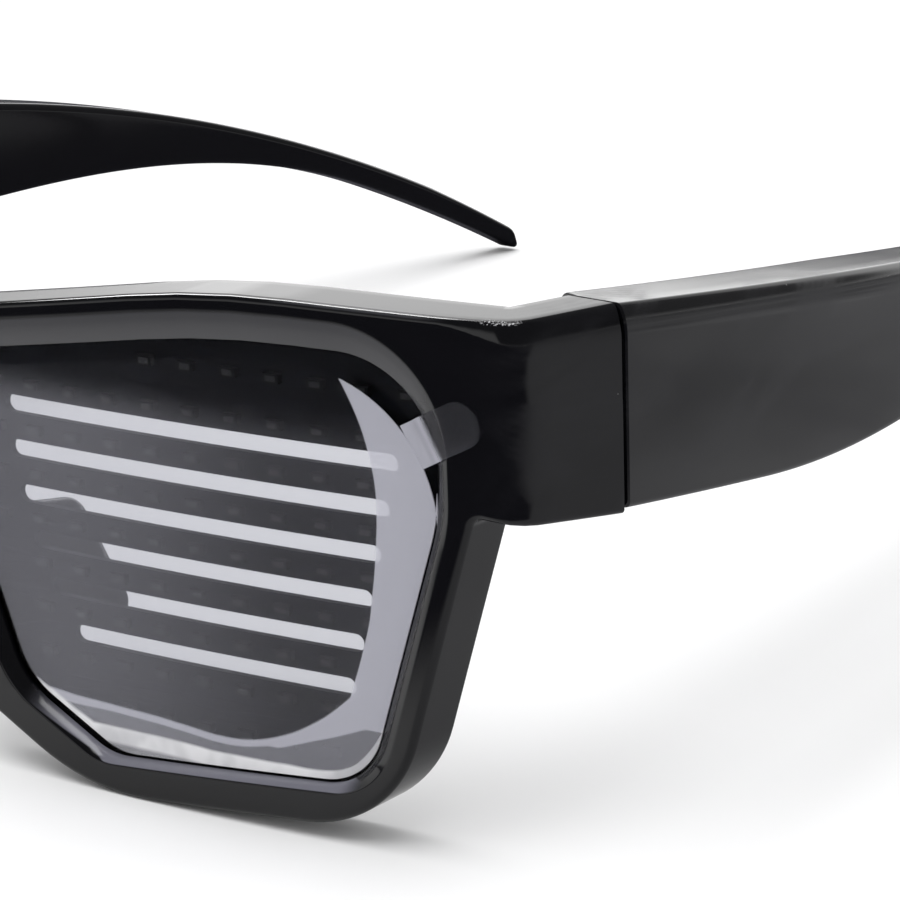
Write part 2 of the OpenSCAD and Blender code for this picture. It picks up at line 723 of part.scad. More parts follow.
module temple_leaf() {
    color("silver") {
        knuckles([1, 3], leaf_y, 1);
        difference() {
            translate([leaf_x - leaf_t / 2, leaf_y, hinge_z - hinge_h / 2])
                cube([leaf_t, leaf_l, hinge_h]);
            at_temple_leaf_screw() cylinder(r = leaf_screw_r + fit, h = 8);
        }
    }
}

module temple_leaf_screw() {
    color("silver") at_temple_leaf_screw() translate([0, 0, 0.02]) small_screw(4.4);
}

// Stations inside the bay, measured from the outer face
cell_x = temple_wall + 0.3;
pcb_face = cell_x + pcb_t;
port_y = -6.2;
button_y = 6.5;

module battery() {
    mirror([1, 0, 0]) in_temple(bay_mid) {
        color([0.75, 0.76, 0.78]) translate([-cell_x - cell_t, -cell_l / 2 + 1.2, -cell_h / 2])
            cube([cell_t, cell_l - 1.2, cell_h]);
        color("peru") translate([-cell_x - cell_t + 0.4, -cell_l / 2, -cell_h / 2 + 0.5])
            cube([cell_t - 0.8, 1.25, cell_h - 1]);
    }
}

module control_board() {
    color([0.1, 0.3, 0.2]) in_temple(bay_mid)
        translate([-pcb_face, -pcb_l / 2, -pcb_h / 2]) cube([pcb_t, pcb_l, pcb_h]);
}

module control_chips() {
    color([0.12, 0.12, 0.13]) in_temple(bay_mid) translate([-pcb_face - 0.02, 0, 0]) {
        translate([-chip_t, -0.3 * chip_l, -0.1 * pcb_h]) cube([chip_t, chip_l, chip_l]);
        translate([-chip_t, 0.32 * pcb_l, -0.2 * pcb_h]) cube([chip_t, 0.75 * chip_l, 0.9 * chip_l]);
        translate([-chip_t, -0.45 * pcb_l, 0.1 * pcb_h]) cube([chip_t, 0.5 * chip_l, 0.4 * chip_l]);
        for (k = [0:3])
            translate([-chip_t / 2, (k - 0.8) * chip_l / 3, -0.34 * pcb_h])
                cube([chip_t / 2, chip_l / 8, chip_l / 4]);
    }
}

// Low corner of the charging port's box, grown by a clearance
module at_port(c) {
    in_temple(bay_mid) translate([-pcb_face - 0.05 - port_t - c, port_y - port_w / 2 - c,
        -t_high(bay_mid + port_y) / 2 - (c > 0 ? 1 : -0.05)]) children();
}

module charging_port() {
    wall = 0.3;
    color("silver") at_port(0) {
        difference() {
            cube([port_t, port_w, port_d]);
            translate([wall, wall, -1]) cube([port_t - 2 * wall, port_w - 2 * wall, port_d]);
        }
        translate([port_t / 2 - 0.35, 1.4, 0.6]) cube([0.7, port_w - 2.8, port_d - 1]);
    }
}

module at_button() {
    in_temple(bay_mid) translate([-temple_t, button_y, 0]) rotate([0, 90, 0]) children();
}

button_proud = 0.5;
lid_inside = lid_t + 0.05;
flange_t = temple_t - lid_inside - pcb_face - 1.4 - button_travel - 0.3;

module tact_switch() {
    color([0.3, 0.3, 0.32]) at_button() translate([0, 0, temple_t - pcb_face - 1.4]) {
        translate([-1.6, -1.6, 0]) cube([3.2, 3.2, 1.38]);
        translate([0, 0, -0.25]) cylinder(r = 0.8, h = 0.3);
    }
}

module mode_button() {
    color([0.1, 0.1, 0.11]) at_button() {
        translate([0, 0, -button_proud]) cylinder(r = button_r, h = button_proud + lid_inside + 0.2);
        translate([0, 0, lid_inside]) cylinder(r = button_r + 0.8, h = flange_t);
    }
}

// Puts the right half's part on the left
module left() {
    mirror([1, 0, 0]) children();
}

// Moves the middle of the glasses' length to the origin
module place() {
    translate([0, -reach / 2, 0]) children();
}

place() front_frame();
place() back_cover();
place() cover_screws();
place() bridge_flex();
place() lens();  // lens_right
place() left() lens();  // lens_left
place() film();  // film_right
place() left() film();  // film_left
place() led_board();  // led_board_right
place() left() led_board();  // led_board_left
place() leds();  // leds_right
place() left() leds();  // leds_left
place() nose_pad();  // nose_pad_right
place() left() nose_pad();  // nose_pad_left
place() end_flex();  // end_flex_right
place() left() end_flex();  // end_flex_left
place() frame_leaf();  // frame_leaf_right
place() left() frame_leaf();  // frame_leaf_left
place() frame_leaf_screw();  // frame_leaf_screw_right
place() left() frame_leaf_screw();  // frame_leaf_screw_left
place() hinge_pin();  // hinge_pin_right
place() left() hinge_pin();  // hinge_pin_left
place() temple_shell(port = true);  // temple_shell_right
place() left() temple_shell();  // temple_shell_left
place() temple_lid(button = true);  // temple_lid_right
place() left() temple_lid();  // temple_lid_left
place() temple_leaf();  // temple_leaf_right
place() left() temple_leaf();  // temple_leaf_left
place() temple_leaf_screw();  // temple_leaf_screw_right
place() left() temple_leaf_screw();  // temple_leaf_screw_left
place() lid_screws();  // lid_screws_right
place() left() lid_screws();  // lid_screws_left
place() temple_flex(pcb_l);  // temple_flex_right
place() left() temple_flex(cell_l);  // temple_flex_left
place() battery();
place() control_board();
place() control_chips();
place() charging_port();
place() tact_switch();
place() mode_button();
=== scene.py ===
"""Light-up glasses: a wrapped glossy front, tinted lenses under a clear film,
slotted light boards and two folding temples."""

import math

import bmesh
import bpy
import numpy as np
from mathutils import Matrix, Vector
from mathutils.geometry import delaunay_2d_cdt


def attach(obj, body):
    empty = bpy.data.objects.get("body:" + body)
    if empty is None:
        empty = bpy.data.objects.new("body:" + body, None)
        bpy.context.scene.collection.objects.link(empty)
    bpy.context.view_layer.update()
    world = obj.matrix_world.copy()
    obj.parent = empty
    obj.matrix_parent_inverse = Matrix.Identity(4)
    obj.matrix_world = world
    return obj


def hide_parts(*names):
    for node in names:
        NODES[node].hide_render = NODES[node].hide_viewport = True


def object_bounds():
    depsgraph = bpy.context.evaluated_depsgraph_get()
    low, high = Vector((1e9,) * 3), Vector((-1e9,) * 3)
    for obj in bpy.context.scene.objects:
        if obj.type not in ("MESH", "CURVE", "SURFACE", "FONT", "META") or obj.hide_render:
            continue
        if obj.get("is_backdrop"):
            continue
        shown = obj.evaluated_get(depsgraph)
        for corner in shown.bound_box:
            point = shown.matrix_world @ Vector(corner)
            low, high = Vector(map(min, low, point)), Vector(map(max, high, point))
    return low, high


bl_info = {
    "name": "LED glasses",
    "version": (1, 0, 0),
    "blender": (4, 5, 0),
    "location": "3D View > Sidebar > LED glasses",
    "description": "Makes the front, lenses, films, light boards and temples of light-up glasses",
    "category": "Object",
}

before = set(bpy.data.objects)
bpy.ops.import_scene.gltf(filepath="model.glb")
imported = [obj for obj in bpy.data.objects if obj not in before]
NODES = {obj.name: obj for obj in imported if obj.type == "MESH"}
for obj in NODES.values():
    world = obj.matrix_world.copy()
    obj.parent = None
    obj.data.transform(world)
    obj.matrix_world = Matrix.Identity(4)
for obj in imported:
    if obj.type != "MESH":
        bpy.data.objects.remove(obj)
CAD_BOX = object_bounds()
MM = 0.001

# The end pieces' flare, and fixed sizes in millimetres
FLARE = math.radians(19)
TIP_H, TIP_T, BOW_R = 3.2, 3.5, 470
FILM_GAP, TAB_T = 0.03, 0.06
COVER_T = LID_T = 1.2
COVER_INSET = 1.05
KNUCKLES, KNUCKLE_H, KNUCKLE_GAP, KNUCKLE_R = 5, 1.6, 0.06, 1.75
SCREW_HEAD_R, SCREW_R = 1.05, 0.65
SCREW_PLACE = 2.64

# The gap round a piece that sits in another
ROOM = 0.05

# How far the top slot lies below the brow, and the slots' ends from the middle and from the seam
TOP_SLOT, SLOTS_FROM, SLOTS_TO = 13.6, 20.9, 16.2


# Settings


def metres(name, description, default):
    """A setting in metres."""
    return bpy.props.FloatProperty(name=name, description=description, default=default, unit="LENGTH")


def metres3(name, description, default):
    """A setting of three values in metres."""
    return bpy.props.FloatVectorProperty(
        name=name, description=description, default=default, unit="LENGTH"
    )


def degrees(name, description, default):
    """A setting in radians, given in degrees."""
    return bpy.props.FloatProperty(
        name=name, description=description, default=math.radians(default), unit="ROTATION"
    )


def tint(name, description, default):
    """A setting of a colour without transparency."""
    return bpy.props.FloatVectorProperty(
        name=name, description=description, default=(*default, 1.0),
        subtype="COLOR", size=4, min=0, max=1,
    )


class FrontSettings(bpy.types.PropertyGroup):
    """Sizes of the front moulding"""

    width: metres("Width", "Width across the hinge seams", 0.154)
    height: metres("Height", "Height from the rims to the brow", 0.0464)
    wrap_radius: metres("Wrap radius", "Radius of the horizontal wrap", 0.355)
    depth: metres("Depth", "Thickness from the face to the back", 0.0054)
    edge: metres("Edge radius", "Radius of the outer front edge", 0.0006)
    reach: metres("Reach", "Length from the front plane to the temple tips", 0.1735)


class WindowSettings(bpy.types.PropertyGroup):
    """Sizes of the windows, lenses and films"""

    bevel_depth: metres("Bevel depth", "Depth of the bevel round a window", 0.0011)
    lens_depth: metres("Lens depth", "Depth of the lens below the face", 0.0014)
    lens_thickness: metres("Lens thickness", "Thickness of a lens", 0.0011)
    film_thickness: metres("Film thickness", "Thickness of the protective film", 0.00012)
    tab_width: metres("Tab width", "Width of the film's pull tab", 0.0039)


class LightSettings(bpy.types.PropertyGroup):
    """Sizes of the light boards and their chip lights"""

    board_depth: metres("Board depth", "Depth of a board below the face", 0.0035)
    board_thickness: metres("Board thickness", "Thickness of a board", 0.0006)
    row_pitch: metres("Row pitch", "Distance between rows of slots", 0.004)
    column_pitch: metres("Column pitch", "Distance between columns of lights", 0.0042)
    slot_height: metres("Slot height", "Height of a slot", 0.0016)
    light_size: metres3("Light size", "Length, width and height of one light", (0.0016, 0.0008, 0.0006))


class TempleSettings(bpy.types.PropertyGroup):
    """Sizes of the temples"""

    height: metres("Height", "Height at the hinge", 0.0169)
    thickness: metres("Thickness", "Thickness at the hinge", 0.0072)
    slope: degrees("Slope", "Downward slope of a temple", 9.2)
    toe: degrees("Toe", "Inward angle at the hinge", 1.7)
    bow: metres("Bow", "Length of the inward curve", 0.058)
    bend: metres("Bend", "Distance from the front plane to the ear bend", 0.086)
    edge: metres("Edge radius", "Radius of the outer edges", 0.0006)


class FinishSettings(bpy.types.PropertyGroup):
    """Colours of the main finishes"""

    moulding: tint("Moulding", "Glossy plastic of the front and temples", (0.0022, 0.0022, 0.0030))
    cover: tint("Covers", "Satin plastic of the inner covers", (0.012, 0.012, 0.013))
    lens: tint("Lens", "Tint of the lenses", (0.56, 0.565, 0.6))
    film: tint("Film", "Pale haze of the protective film", (0.57, 0.57, 0.64))
    board: tint("Board", "Solder mask of the light boards", (0.006, 0.007, 0.010))


class StageSettings(bpy.types.PropertyGroup):
    """Camera, lamps and floor"""

    camera_place: metres3("Camera place", "Where the camera stands", (0.228361, -0.278856, 0.115901))
    camera_turn: degrees("Camera turn", "Turn of the view about the vertical", 38.937)
    camera_pitch: degrees("Camera pitch", "How far the camera looks down", 17.4207)
    camera_roll: degrees("Camera roll", "Roll of the camera about its view", 1.8124)
    focal_length: bpy.props.FloatProperty(
        name="Focal length", description="Focal length on a 36 mm sensor, in millimetres",
        default=136.655,
    )
    floor: tint("Floor", "Colour of the floor", (0.91, 0.91, 0.915))


# Outlines, in millimetres: a point is a distance along the wrap and a height


def unit(v):
    """A vector of length one."""
    return v / np.linalg.norm(v)


def cross(a, b):
    """The cross product of two flat vectors."""
    return a[0] * b[1] - a[1] * b[0]


def inset(points, widths):
    """Moves each edge of an anticlockwise outline inwards by its own width."""
    out, count = [], len(points)
    for i in range(count):
        a = unit(points[i] - points[i - 1])
        b = unit(points[(i + 1) % count] - points[i])
        p = points[i] + np.array([-a[1], a[0]]) * widths[i - 1]
        q = points[i] + np.array([-b[1], b[0]]) * widths[i]
        turn = cross(a, b)
        out.append(p if abs(turn) < 1e-3 else p + a * cross(q - p, b) / turn)
    return np.array(out)


def rounded(points, radii, step=4.0):
    """Rounds each corner of an outline by its own radius."""
    out, count = [], len(points)
    for i in range(count):
        if radii[i] == 0:
            out.append(points[i])
            continue
        a = unit(points[i - 1] - points[i])
        b = unit(points[(i + 1) % count] - points[i])
        half = math.acos(max(-1, min(1, a @ b))) / 2
        sweep = math.pi - 2 * half
        way = 1 if cross(-a, b) > 0 else -1
        steps = max(2, math.ceil(math.degrees(sweep) / step))
        centre = points[i] + unit(a + b) * radii[i] / math.sin(half)
        start = points[i] + a * radii[i] / math.tan(half) - centre
        for k in range(steps + 1):
            t = way * sweep * k / steps
            c, s = math.cos(t), math.sin(t)
            out.append(centre + np.array([start[0] * c - start[1] * s, start[0] * s + start[1] * c]))
    return np.array(out)


def matched(rings, longest=1.2):
    """Splits the long edges of rings alike, so that they keep as many points each."""
    count = len(rings[0])
    out = [[] for ring in rings]
    for i in range(count):
        j = (i + 1) % count
        parts = max(math.ceil(np.linalg.norm(ring[j] - ring[i]) / longest) for ring in rings)
        for k in range(max(parts, 1)):
            for ring, rows in zip(rings, out):
                rows.append(ring[i] + (ring[j] - ring[i]) * k / max(parts, 1))
    return [np.array(rows) for rows in out]


def shrunk(points, distance):
    """Moves a smooth anticlockwise outline inwards by a small distance."""
    before = points - np.roll(points, 1, axis=0)
    after = np.roll(points, -1, axis=0) - points
    before /= np.linalg.norm(before, axis=1)[:, None]
    after /= np.linalg.norm(after, axis=1)[:, None]
    n = np.stack([-(before + after)[:, 1], (before + after)[:, 0]], 1)
    n /= np.linalg.norm(n, axis=1)[:, None]
    stretch = np.clip((n * np.stack([-after[:, 1], after[:, 0]], 1)).sum(1), 0.5, 1)
    return points + n * (distance / stretch)[:, None]


def flipped(points):
    """The outline's other half, so that the two make one closed outline."""
    return [np.array([-p[0], p[1]]) for p in reversed(points)]


def inside(places, outline):
    """Which places lie inside a closed outline."""
    x, y = places[:, 0][:, None], places[:, 1][:, None]
    x0, y0 = outline[:, 0][None], outline[:, 1][None]
    x1, y1 = np.roll(x0, -1, axis=1), np.roll(y0, -1, axis=1)
    spans = (y0 > y) != (y1 > y)
    rise = np.where(y1 == y0, 1e-12, y1 - y0)
    return (spans & (x < (x1 - x0) * (y - y0) / rise + x0)).sum(1) % 2 == 1


def circle(centre, radius, steps=20):
    """An anticlockwise circle."""
    t = np.linspace(0, 2 * math.pi, steps, endpoint=False)
    return np.array(centre) + radius * np.stack([np.cos(t), np.sin(t)], 1)


class Glasses:
    """The shape of the front and temples, worked out from the settings."""

    def __init__(self, scene):
        front, window = scene.glasses_front, scene.glasses_window
        lights, temple = scene.glasses_lights, scene.glasses_temple
        self.half = front.width / MM / 2
        self.high = front.height / MM
        self.wrap_r = front.wrap_radius / MM
        self.depth = front.depth / MM
        self.edge = front.edge / MM
        self.reach = front.reach / MM
        self.bevel_depth = window.bevel_depth / MM
        self.lens_depth = window.lens_depth / MM
        self.lens_t = window.lens_thickness / MM
        self.film_t = window.film_thickness / MM
        self.film_depth = self.lens_depth - FILM_GAP - self.film_t
        self.tab_w = window.tab_width / MM
        self.board_depth = lights.board_depth / MM
        self.board_t = lights.board_thickness / MM
        self.row_pitch = lights.row_pitch / MM
        self.column_pitch = lights.column_pitch / MM
        self.slot_h = lights.slot_height / MM
        self.cover_depth = self.depth - COVER_T
        self.seam_y, self.seam_gap, self.end_t, self.end_h = 17.3, 0.45, 5.6, 17.3
        self.temple_from = self.seam_y + self.seam_gap
        self.temple_h = temple.height / MM
        self.temple_t = temple.thickness / MM
        self.slope, self.toe = temple.slope, temple.toe
        self.bow, self.bend_y = temple.bow / MM, temple.bend / MM
        self.temple_edge = temple.edge / MM
        self.hinge_x, self.hinge_y = self.half - 6.6, self.seam_y + 0.2
        self.hinge_z = self.high - self.end_h / 2
        self.hinge_h = KNUCKLES * KNUCKLE_H + (KNUCKLES - 1) * KNUCKLE_GAP
        self.hinge_low = self.hinge_z - self.hinge_h / 2
        self.leaf_x = self.hinge_x + 2.6
        self.plan()
        self.outlines()

    def plan(self):
        """The plan of the outer face: the wrap, a corner and the flared end piece."""
        radius, wrap_r = 3.5, self.wrap_r
        along = np.array([math.sin(FLARE), math.cos(FLARE)])
        inward = np.array([-math.cos(FLARE), math.sin(FLARE)])
        self.seam_out = np.array([self.half, self.seam_y])
        self.seam_in = self.seam_out - [self.end_t, 0]

        def back_to(p, r, c):
            """How far a point lies in front of a circle, along the end piece."""
            v = p - c
            k = v @ along
            return k + math.sqrt(k * k - v @ v + r * r)

        middle = np.array([0, wrap_r])
        p = self.seam_out + inward * radius
        self.corner = p - along * back_to(p, wrap_r - radius, middle)
        start = middle + unit(self.corner - middle) * wrap_r
        self.corner_from = math.atan2(*(start - self.corner)[::-1])
        self.s_corner = wrap_r * math.asin(start[0] / wrap_r)
        self.s_flat = self.s_corner + radius * (-FLARE - self.corner_from)
        flat = self.corner + radius * np.array([math.cos(FLARE), -math.sin(FLARE)])
        self.s_end = self.s_flat + np.linalg.norm(self.seam_out - flat)
        inner = self.seam_in - along * back_to(self.seam_in, wrap_r, np.array([0, wrap_r + self.depth]))
        self.inner_l = np.linalg.norm(self.seam_in - inner)
        self.s_inner = wrap_r * math.asin(inner[0] / wrap_r)
        self.along, self.corner_r = along, radius

    def wrap(self, x):
        """Depth of the face behind the front plane."""
        return self.wrap_r - np.sqrt(self.wrap_r**2 - np.asarray(x, float) ** 2)

    def s(self, x):
        """Distance along the wrap."""
        return self.wrap_r * np.arcsin(np.asarray(x, float) / self.wrap_r)

    def bend(self, points, depth):
        """Bends an outline round the wrap, at a depth, or at one for each point."""
        points = np.asarray(points, float)
        depth = np.broadcast_to(np.asarray(depth, float), len(points))
        s, side = np.abs(points[:, 0]), np.where(points[:, 0] < 0, -1, 1)
        x = self.wrap_r * np.sin(np.minimum(s, self.s_corner) / self.wrap_r)
        y = self.wrap(x)
        t = self.corner_from + np.clip(s - self.s_corner, 0, self.s_flat - self.s_corner) / self.corner_r
        turned = s > self.s_corner
        x = np.where(turned, self.corner[0] + self.corner_r * np.cos(t), x)
        y = np.where(turned, self.corner[1] + self.corner_r * np.sin(t), y)
        run = np.maximum(s - self.s_flat, 0)
        x, y = x + self.along[0] * run, y + self.along[1] * run
        ix, iy = x.copy(), y + self.depth
        held = s > self.s_inner
        left = np.clip(self.s_end - s, 0, self.inner_l)
        ix = np.where(held, self.seam_in[0] - self.along[0] * left, ix)
        iy = np.where(held, self.seam_in[1] - self.along[1] * left, iy)
        k = depth / self.depth
        return np.stack([(x + (ix - x) * k) * side, y + (iy - y) * k, np.maximum(points[:, 1], 0)], 1)

    def laid(self, points):
        """Points of the front, given by their distance from the middle, laid flat along the wrap."""
        return [np.array([self.s(x), z]) for x, z in points]

    def outlines(self):
        """Outlines of the front, its windows and what sits in them."""
        high, half = self.high, self.half
        low = high - self.end_h
        arch, knee, foot, rim_low = (7.8, 31.0), (11.3, 24.0), (17.5, 6.6), (30.6, -0.5)
        side, top = (half - 7.5, low), (half - 7.5, high)
        outer_low = (side[0] - 8.1, 1.9)
        drop = 6.6
        brow, bridge = (half - 31.6, high), (6.0, high - drop)
        rise = drop / (brow[0] - bridge[0])
        under_end = (side[0], low + (self.seam_y - self.wrap(side[0])) * math.tan(math.radians(6)))
        rim, rim_radii = [arch, knee, foot, rim_low, outer_low], [6, 15, 9, 22, 12.2]
        body = self.laid(rim + [under_end])
        body += [np.array([self.s_end, low]), np.array([self.s_end, high])]
        body += self.laid([brow, bridge])
        radii = rim_radii + [1.2, 0, 0, 95, 30]
        self.front = matched([rounded(np.array(body + flipped(body)), radii + radii[::-1])])[0]
        mask = self.laid(rim + [side, top, brow, bridge])
        radii = rim_radii + [12, 2, 95, 30]
        self.mask, self.mask_radii = np.array(mask + flipped(mask)), radii + radii[::-1]
        eye = self.laid([rim_low, outer_low, side, top, brow, (9.5, bridge[1] + 3.5 * rise), knee, foot])
        radii = np.array([6, 7, 15, 10.5, 90, 6, 15, 8.0])
        face = inset(np.array(eye), [3, 1.9, 2.0, 1.2, 1.2, 5.0, 4.6, 3.3])
        window = inset(face, [0.4, 1.6, 1.6, 2.8, 2.8, 1.5, 1, 0.6])
        inner_radii = radii - [0, 0.5, 0, 1.5, 0, 0, 0, 0]
        self.window_corners = window
        self.face_ring, self.window = matched([rounded(face, radii), rounded(window, inner_radii)])

        def grown(by, more):
            """The window's outline moved outwards, with larger corners."""
            return matched([rounded(inset(window, [-by] * len(window)), inner_radii + more)])[0]

        self.pocket, self.lens, self.cover_hole = grown(1.5, 1.5), grown(1.45, 1.45), grown(0.3, 0)
        bands = np.array([0.3, 0.3, 0.3, 1.7, 1.7, 0.8, 0.8, 0.8])
        film_radii = inner_radii - bands
        film_radii[3] = 12.5
        self.film = matched([rounded(inset(window, bands), film_radii)])[0]

    def mask_ring(self, width):
        """The outline of the rims and bridge, moved inwards."""
        return matched([rounded(inset(self.mask, [width] * len(self.mask)), self.mask_radii)])[0]

    def slots(self):
        """Outlines of a board's slots."""
        out, h = [], self.slot_h / 2
        for i in range(6):
            z = self.high - TOP_SLOT - i * self.row_pitch
            x0, x1 = SLOTS_FROM + 0.25 * i * i, self.half - SLOTS_TO - 0.94 * i
            box = self.laid([(x0, z - h), (x1, z - h), (x1, z + h), (x0, z + h)])
            out.append(matched([rounded(box, [h - 0.02] * 4, 12)])[0])
        return out

    def out(self, y):
        """Distance of a temple's outer face from the middle."""
        q = y - self.seam_y
        c = min(max(q, 0), self.bow)
        after = max(q - self.bow, 0) * self.bow / BOW_R
        return self.half - math.tan(self.toe) * q - c * c / (2 * BOW_R) - after

    def thick(self, y):
        """Thickness of a temple."""
        return self.temple_t + (TIP_T - self.temple_t) * min(max((y - 60) / 100, 0), 1)

    def top(self, y):
        """Height of a temple's top edge."""
        fall = self.high - math.tan(self.slope) * (self.reach - self.seam_y) - TIP_H
        bend = (self.reach - self.bend_y) ** 2 / (2 * fall)
        drop = max(y - self.bend_y, 0) ** 2 / (2 * bend)
        return self.high - math.tan(self.slope) * (y - self.seam_y) - drop

    def tall(self, y):
        """Height of a temple's section."""
        c = min(max((y - 40) / 106, 0), 1)
        return self.temple_h - (self.temple_h - TIP_H) * c * c * (3 - 2 * c)

    def yaw(self, y):
        """Inward turn of a temple's outer face."""
        return self.toe + math.atan((y - self.seam_y) / BOW_R)


# Meshes


class Build:
    """Gathers points and faces, in millimetres, and makes one mesh of them."""

    def __init__(self, glasses):
        self.points, self.faces, self.glasses = [], [], glasses

    def add(self, points):
        """Adds points and returns the number of the first."""
        start = sum(len(p) for p in self.points)
        self.points.append(np.asarray(points, float))
        return start

    def walls(self, rings):
        """Joins closed rings of as many points each by quads."""
        starts = [self.add(r) for r in rings]
        n = len(rings[0])
        for a, b in zip(starts, starts[1:]):
            for i in range(n):
                j = (i + 1) % n
                self.faces.append((a + i, a + j, b + j, b + i))

    def fan(self, ring):
        """Closes a ring by one face."""
        start = self.add(ring)
        self.faces.append(tuple(range(start, start + len(ring))))

    def closed(self, rings):
        """Joins rings and closes both ends."""
        self.walls(rings)
        self.fan(rings[0])
        self.fan(rings[-1])
        return self

    def bent(self, rows):
        """Joins outlines of the front, each at its own depth."""
        self.walls([self.glasses.bend(ring, depth) for ring, depth in rows])

    def level(self, outer, holes, depth, spacing=2.0):
        """Fills the area between outlines of the front at one depth."""
        self.cap(outer, holes, lambda points: self.glasses.bend(points, depth), spacing)

    def cap(self, outer, holes, place, spacing):
        """Fills the area between outlines with even triangles, and places it by a function."""
        rings = [outer] + list(holes)
        low, high = outer.min(0), outer.max(0)
        lines = [np.arange(low[i] + spacing / 2, high[i], spacing) for i in (0, 1)]
        grid = np.stack(np.meshgrid(*lines), -1).reshape(-1, 2)
        keep = inside(grid, outer)
        for hole in holes:
            keep &= ~inside(grid, hole)
        grid = grid[keep]
        edge = np.concatenate(rings)
        near = np.array([np.min(np.abs(edge - g).max(1)) for g in grid]) if len(grid) else np.zeros(0)
        grid = grid[near > spacing * 0.35]
        edges, n = [], 0
        for ring in rings:
            edges += [(n + i, n + (i + 1) % len(ring)) for i in range(len(ring))]
            n += len(ring)
        # Points in one line give triangles without height, so they sway a little while they are joined.
        sway = 0.003 * np.stack([np.sin(2.1 * np.arange(n)), np.cos(3.7 * np.arange(n))], 1)
        points = np.concatenate([edge + sway, grid])
        joined = delaunay_2d_cdt([Vector(p) for p in points], edges, [], 0, 1e-6)
        found, triangles = np.array([list(p) for p in joined[0]]), np.array(joined[2])
        origins = joined[3]
        middle = found[triangles].mean(1)
        keep, first = inside(middle, points[:len(outer)]), len(outer)
        for hole in holes:
            keep &= ~inside(middle, points[first:first + len(hole)])
            first += len(hole)
        for point, origin in zip(found, origins):
            if origin and origin[0] < n:
                point[:] = edge[origin[0]]
        start = self.add(place(found))
        self.faces += [tuple(start + t) for t in triangles[keep]]

    def mirrored(self):
        """The same build for the other side."""
        other = Build(self.glasses)
        other.points = [p * [-1, 1, 1] for p in self.points]
        other.faces = [tuple(reversed(f)) for f in self.faces]
        return other

    def make(self, name):
        """Makes the object, with its normals outwards."""
        points = (np.concatenate(self.points) - [0, self.glasses.reach / 2, 0]) * MM
        mesh = bpy.data.meshes.new(name)
        mesh.from_pydata(points.tolist(), [], [tuple(int(i) for i in f) for f in self.faces])
        tidy(mesh)
        return placed(name, mesh)


def placed(name, data):
    """A new object in the scene."""
    piece = bpy.data.objects.new(name, data)
    bpy.context.scene.collection.objects.link(piece)
    return piece


def tidy(mesh):
    """Merges doubles, drops faces without area and turns the normals outwards."""
    bm = bmesh.new()
    bm.from_mesh(mesh)
    bmesh.ops.remove_doubles(bm, verts=bm.verts, dist=2e-7)
    bmesh.ops.dissolve_degenerate(bm, dist=1e-7, edges=bm.edges)
    bmesh.ops.recalc_face_normals(bm, faces=bm.faces)
    bm.to_mesh(mesh)
    bm.free()
    mesh.update()


def applied(piece):
    """Turns the piece's modifiers into its mesh."""
    bpy.context.view_layer.update()
    graph = bpy.context.evaluated_depsgraph_get()
    mesh = bpy.data.meshes.new_from_object(piece.evaluated_get(graph), depsgraph=graph)
    piece.modifiers.clear()
    piece.data = mesh
    return piece


def cut(piece, *cutters):
    """Cuts closed pieces out of a closed piece."""
    for cutter in cutters:
        modifier = piece.modifiers.new("cut", "BOOLEAN")
        modifier.operation = "DIFFERENCE"
        modifier.solver = "MANIFOLD"
        modifier.object = cutter
        applied(piece)
        if not piece.data.polygons:
            raise RuntimeError(f"the cut left nothing of {piece.name}")
    for cutter in cutters:
        bpy.data.objects.remove(cutter)
    return piece


def smoothed(piece, angle=28):
    """Shades smooth between faces that meet at a small angle."""
    piece.data.shade_smooth()
    piece.data.set_sharp_from_angle(angle=math.radians(angle))
    modifier = piece.modifiers.new("normals", "WEIGHTED_NORMAL")
    modifier.keep_sharp = True
    modifier.weight = 100
    return applied(piece)


def block(glasses, low, high, frame=None):
    """A closed box between two corners, in millimetres, in a frame of its own."""
    x0, y0, z0 = low
    x1, y1, z1 = high
    rings = [[(x0, y0, z), (x1, y0, z), (x1, y1, z), (x0, y1, z)] for z in (z0, z1)]
    if frame is not None:
        rings = [[frame @ Vector(p) for p in ring] for ring in rings]
    return Build(glasses).closed(rings)


def drum(glasses, radius, z0, z1, frame):
    """A closed cylinder along the height of a frame."""
    flat = circle((0, 0), radius, 32)
    return Build(glasses).closed([[frame @ Vector((*p, z)) for p in flat] for z in (z0, z1)])


def moved(x, y, z, turn=0.0, axis="Z"):
    """A frame at a place, turned about one axis."""
    return Matrix.Translation((x, y, z)) @ Matrix.Rotation(turn, 4, axis)


def dressed(piece, body, node, finish=None):
    """Gives a piece its finish and its body, and hides the node that it stands for."""
    if finish:
        piece.data.materials.clear()
        piece.data.materials.append(finish)
    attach(piece, body)
    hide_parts(node)


# Shaders


class Value:
    """A number in a shader that takes arithmetic, so that a mask reads as a formula."""

    def __init__(self, shader, socket):
        self.shader, self.socket = shader, socket

    def __add__(self, other):
        return self.shader.math("ADD", self, other)

    def __sub__(self, other):
        return self.shader.math("SUBTRACT", self, other)

    def __rsub__(self, other):
        return self.shader.math("SUBTRACT", other, self)

    def __mul__(self, other):
        return self.shader.math("MULTIPLY", self, other)

    def __pow__(self, other):
        return self.shader.math("POWER", self, other)

    def __abs__(self):
        return self.shader.math("ABSOLUTE", self)


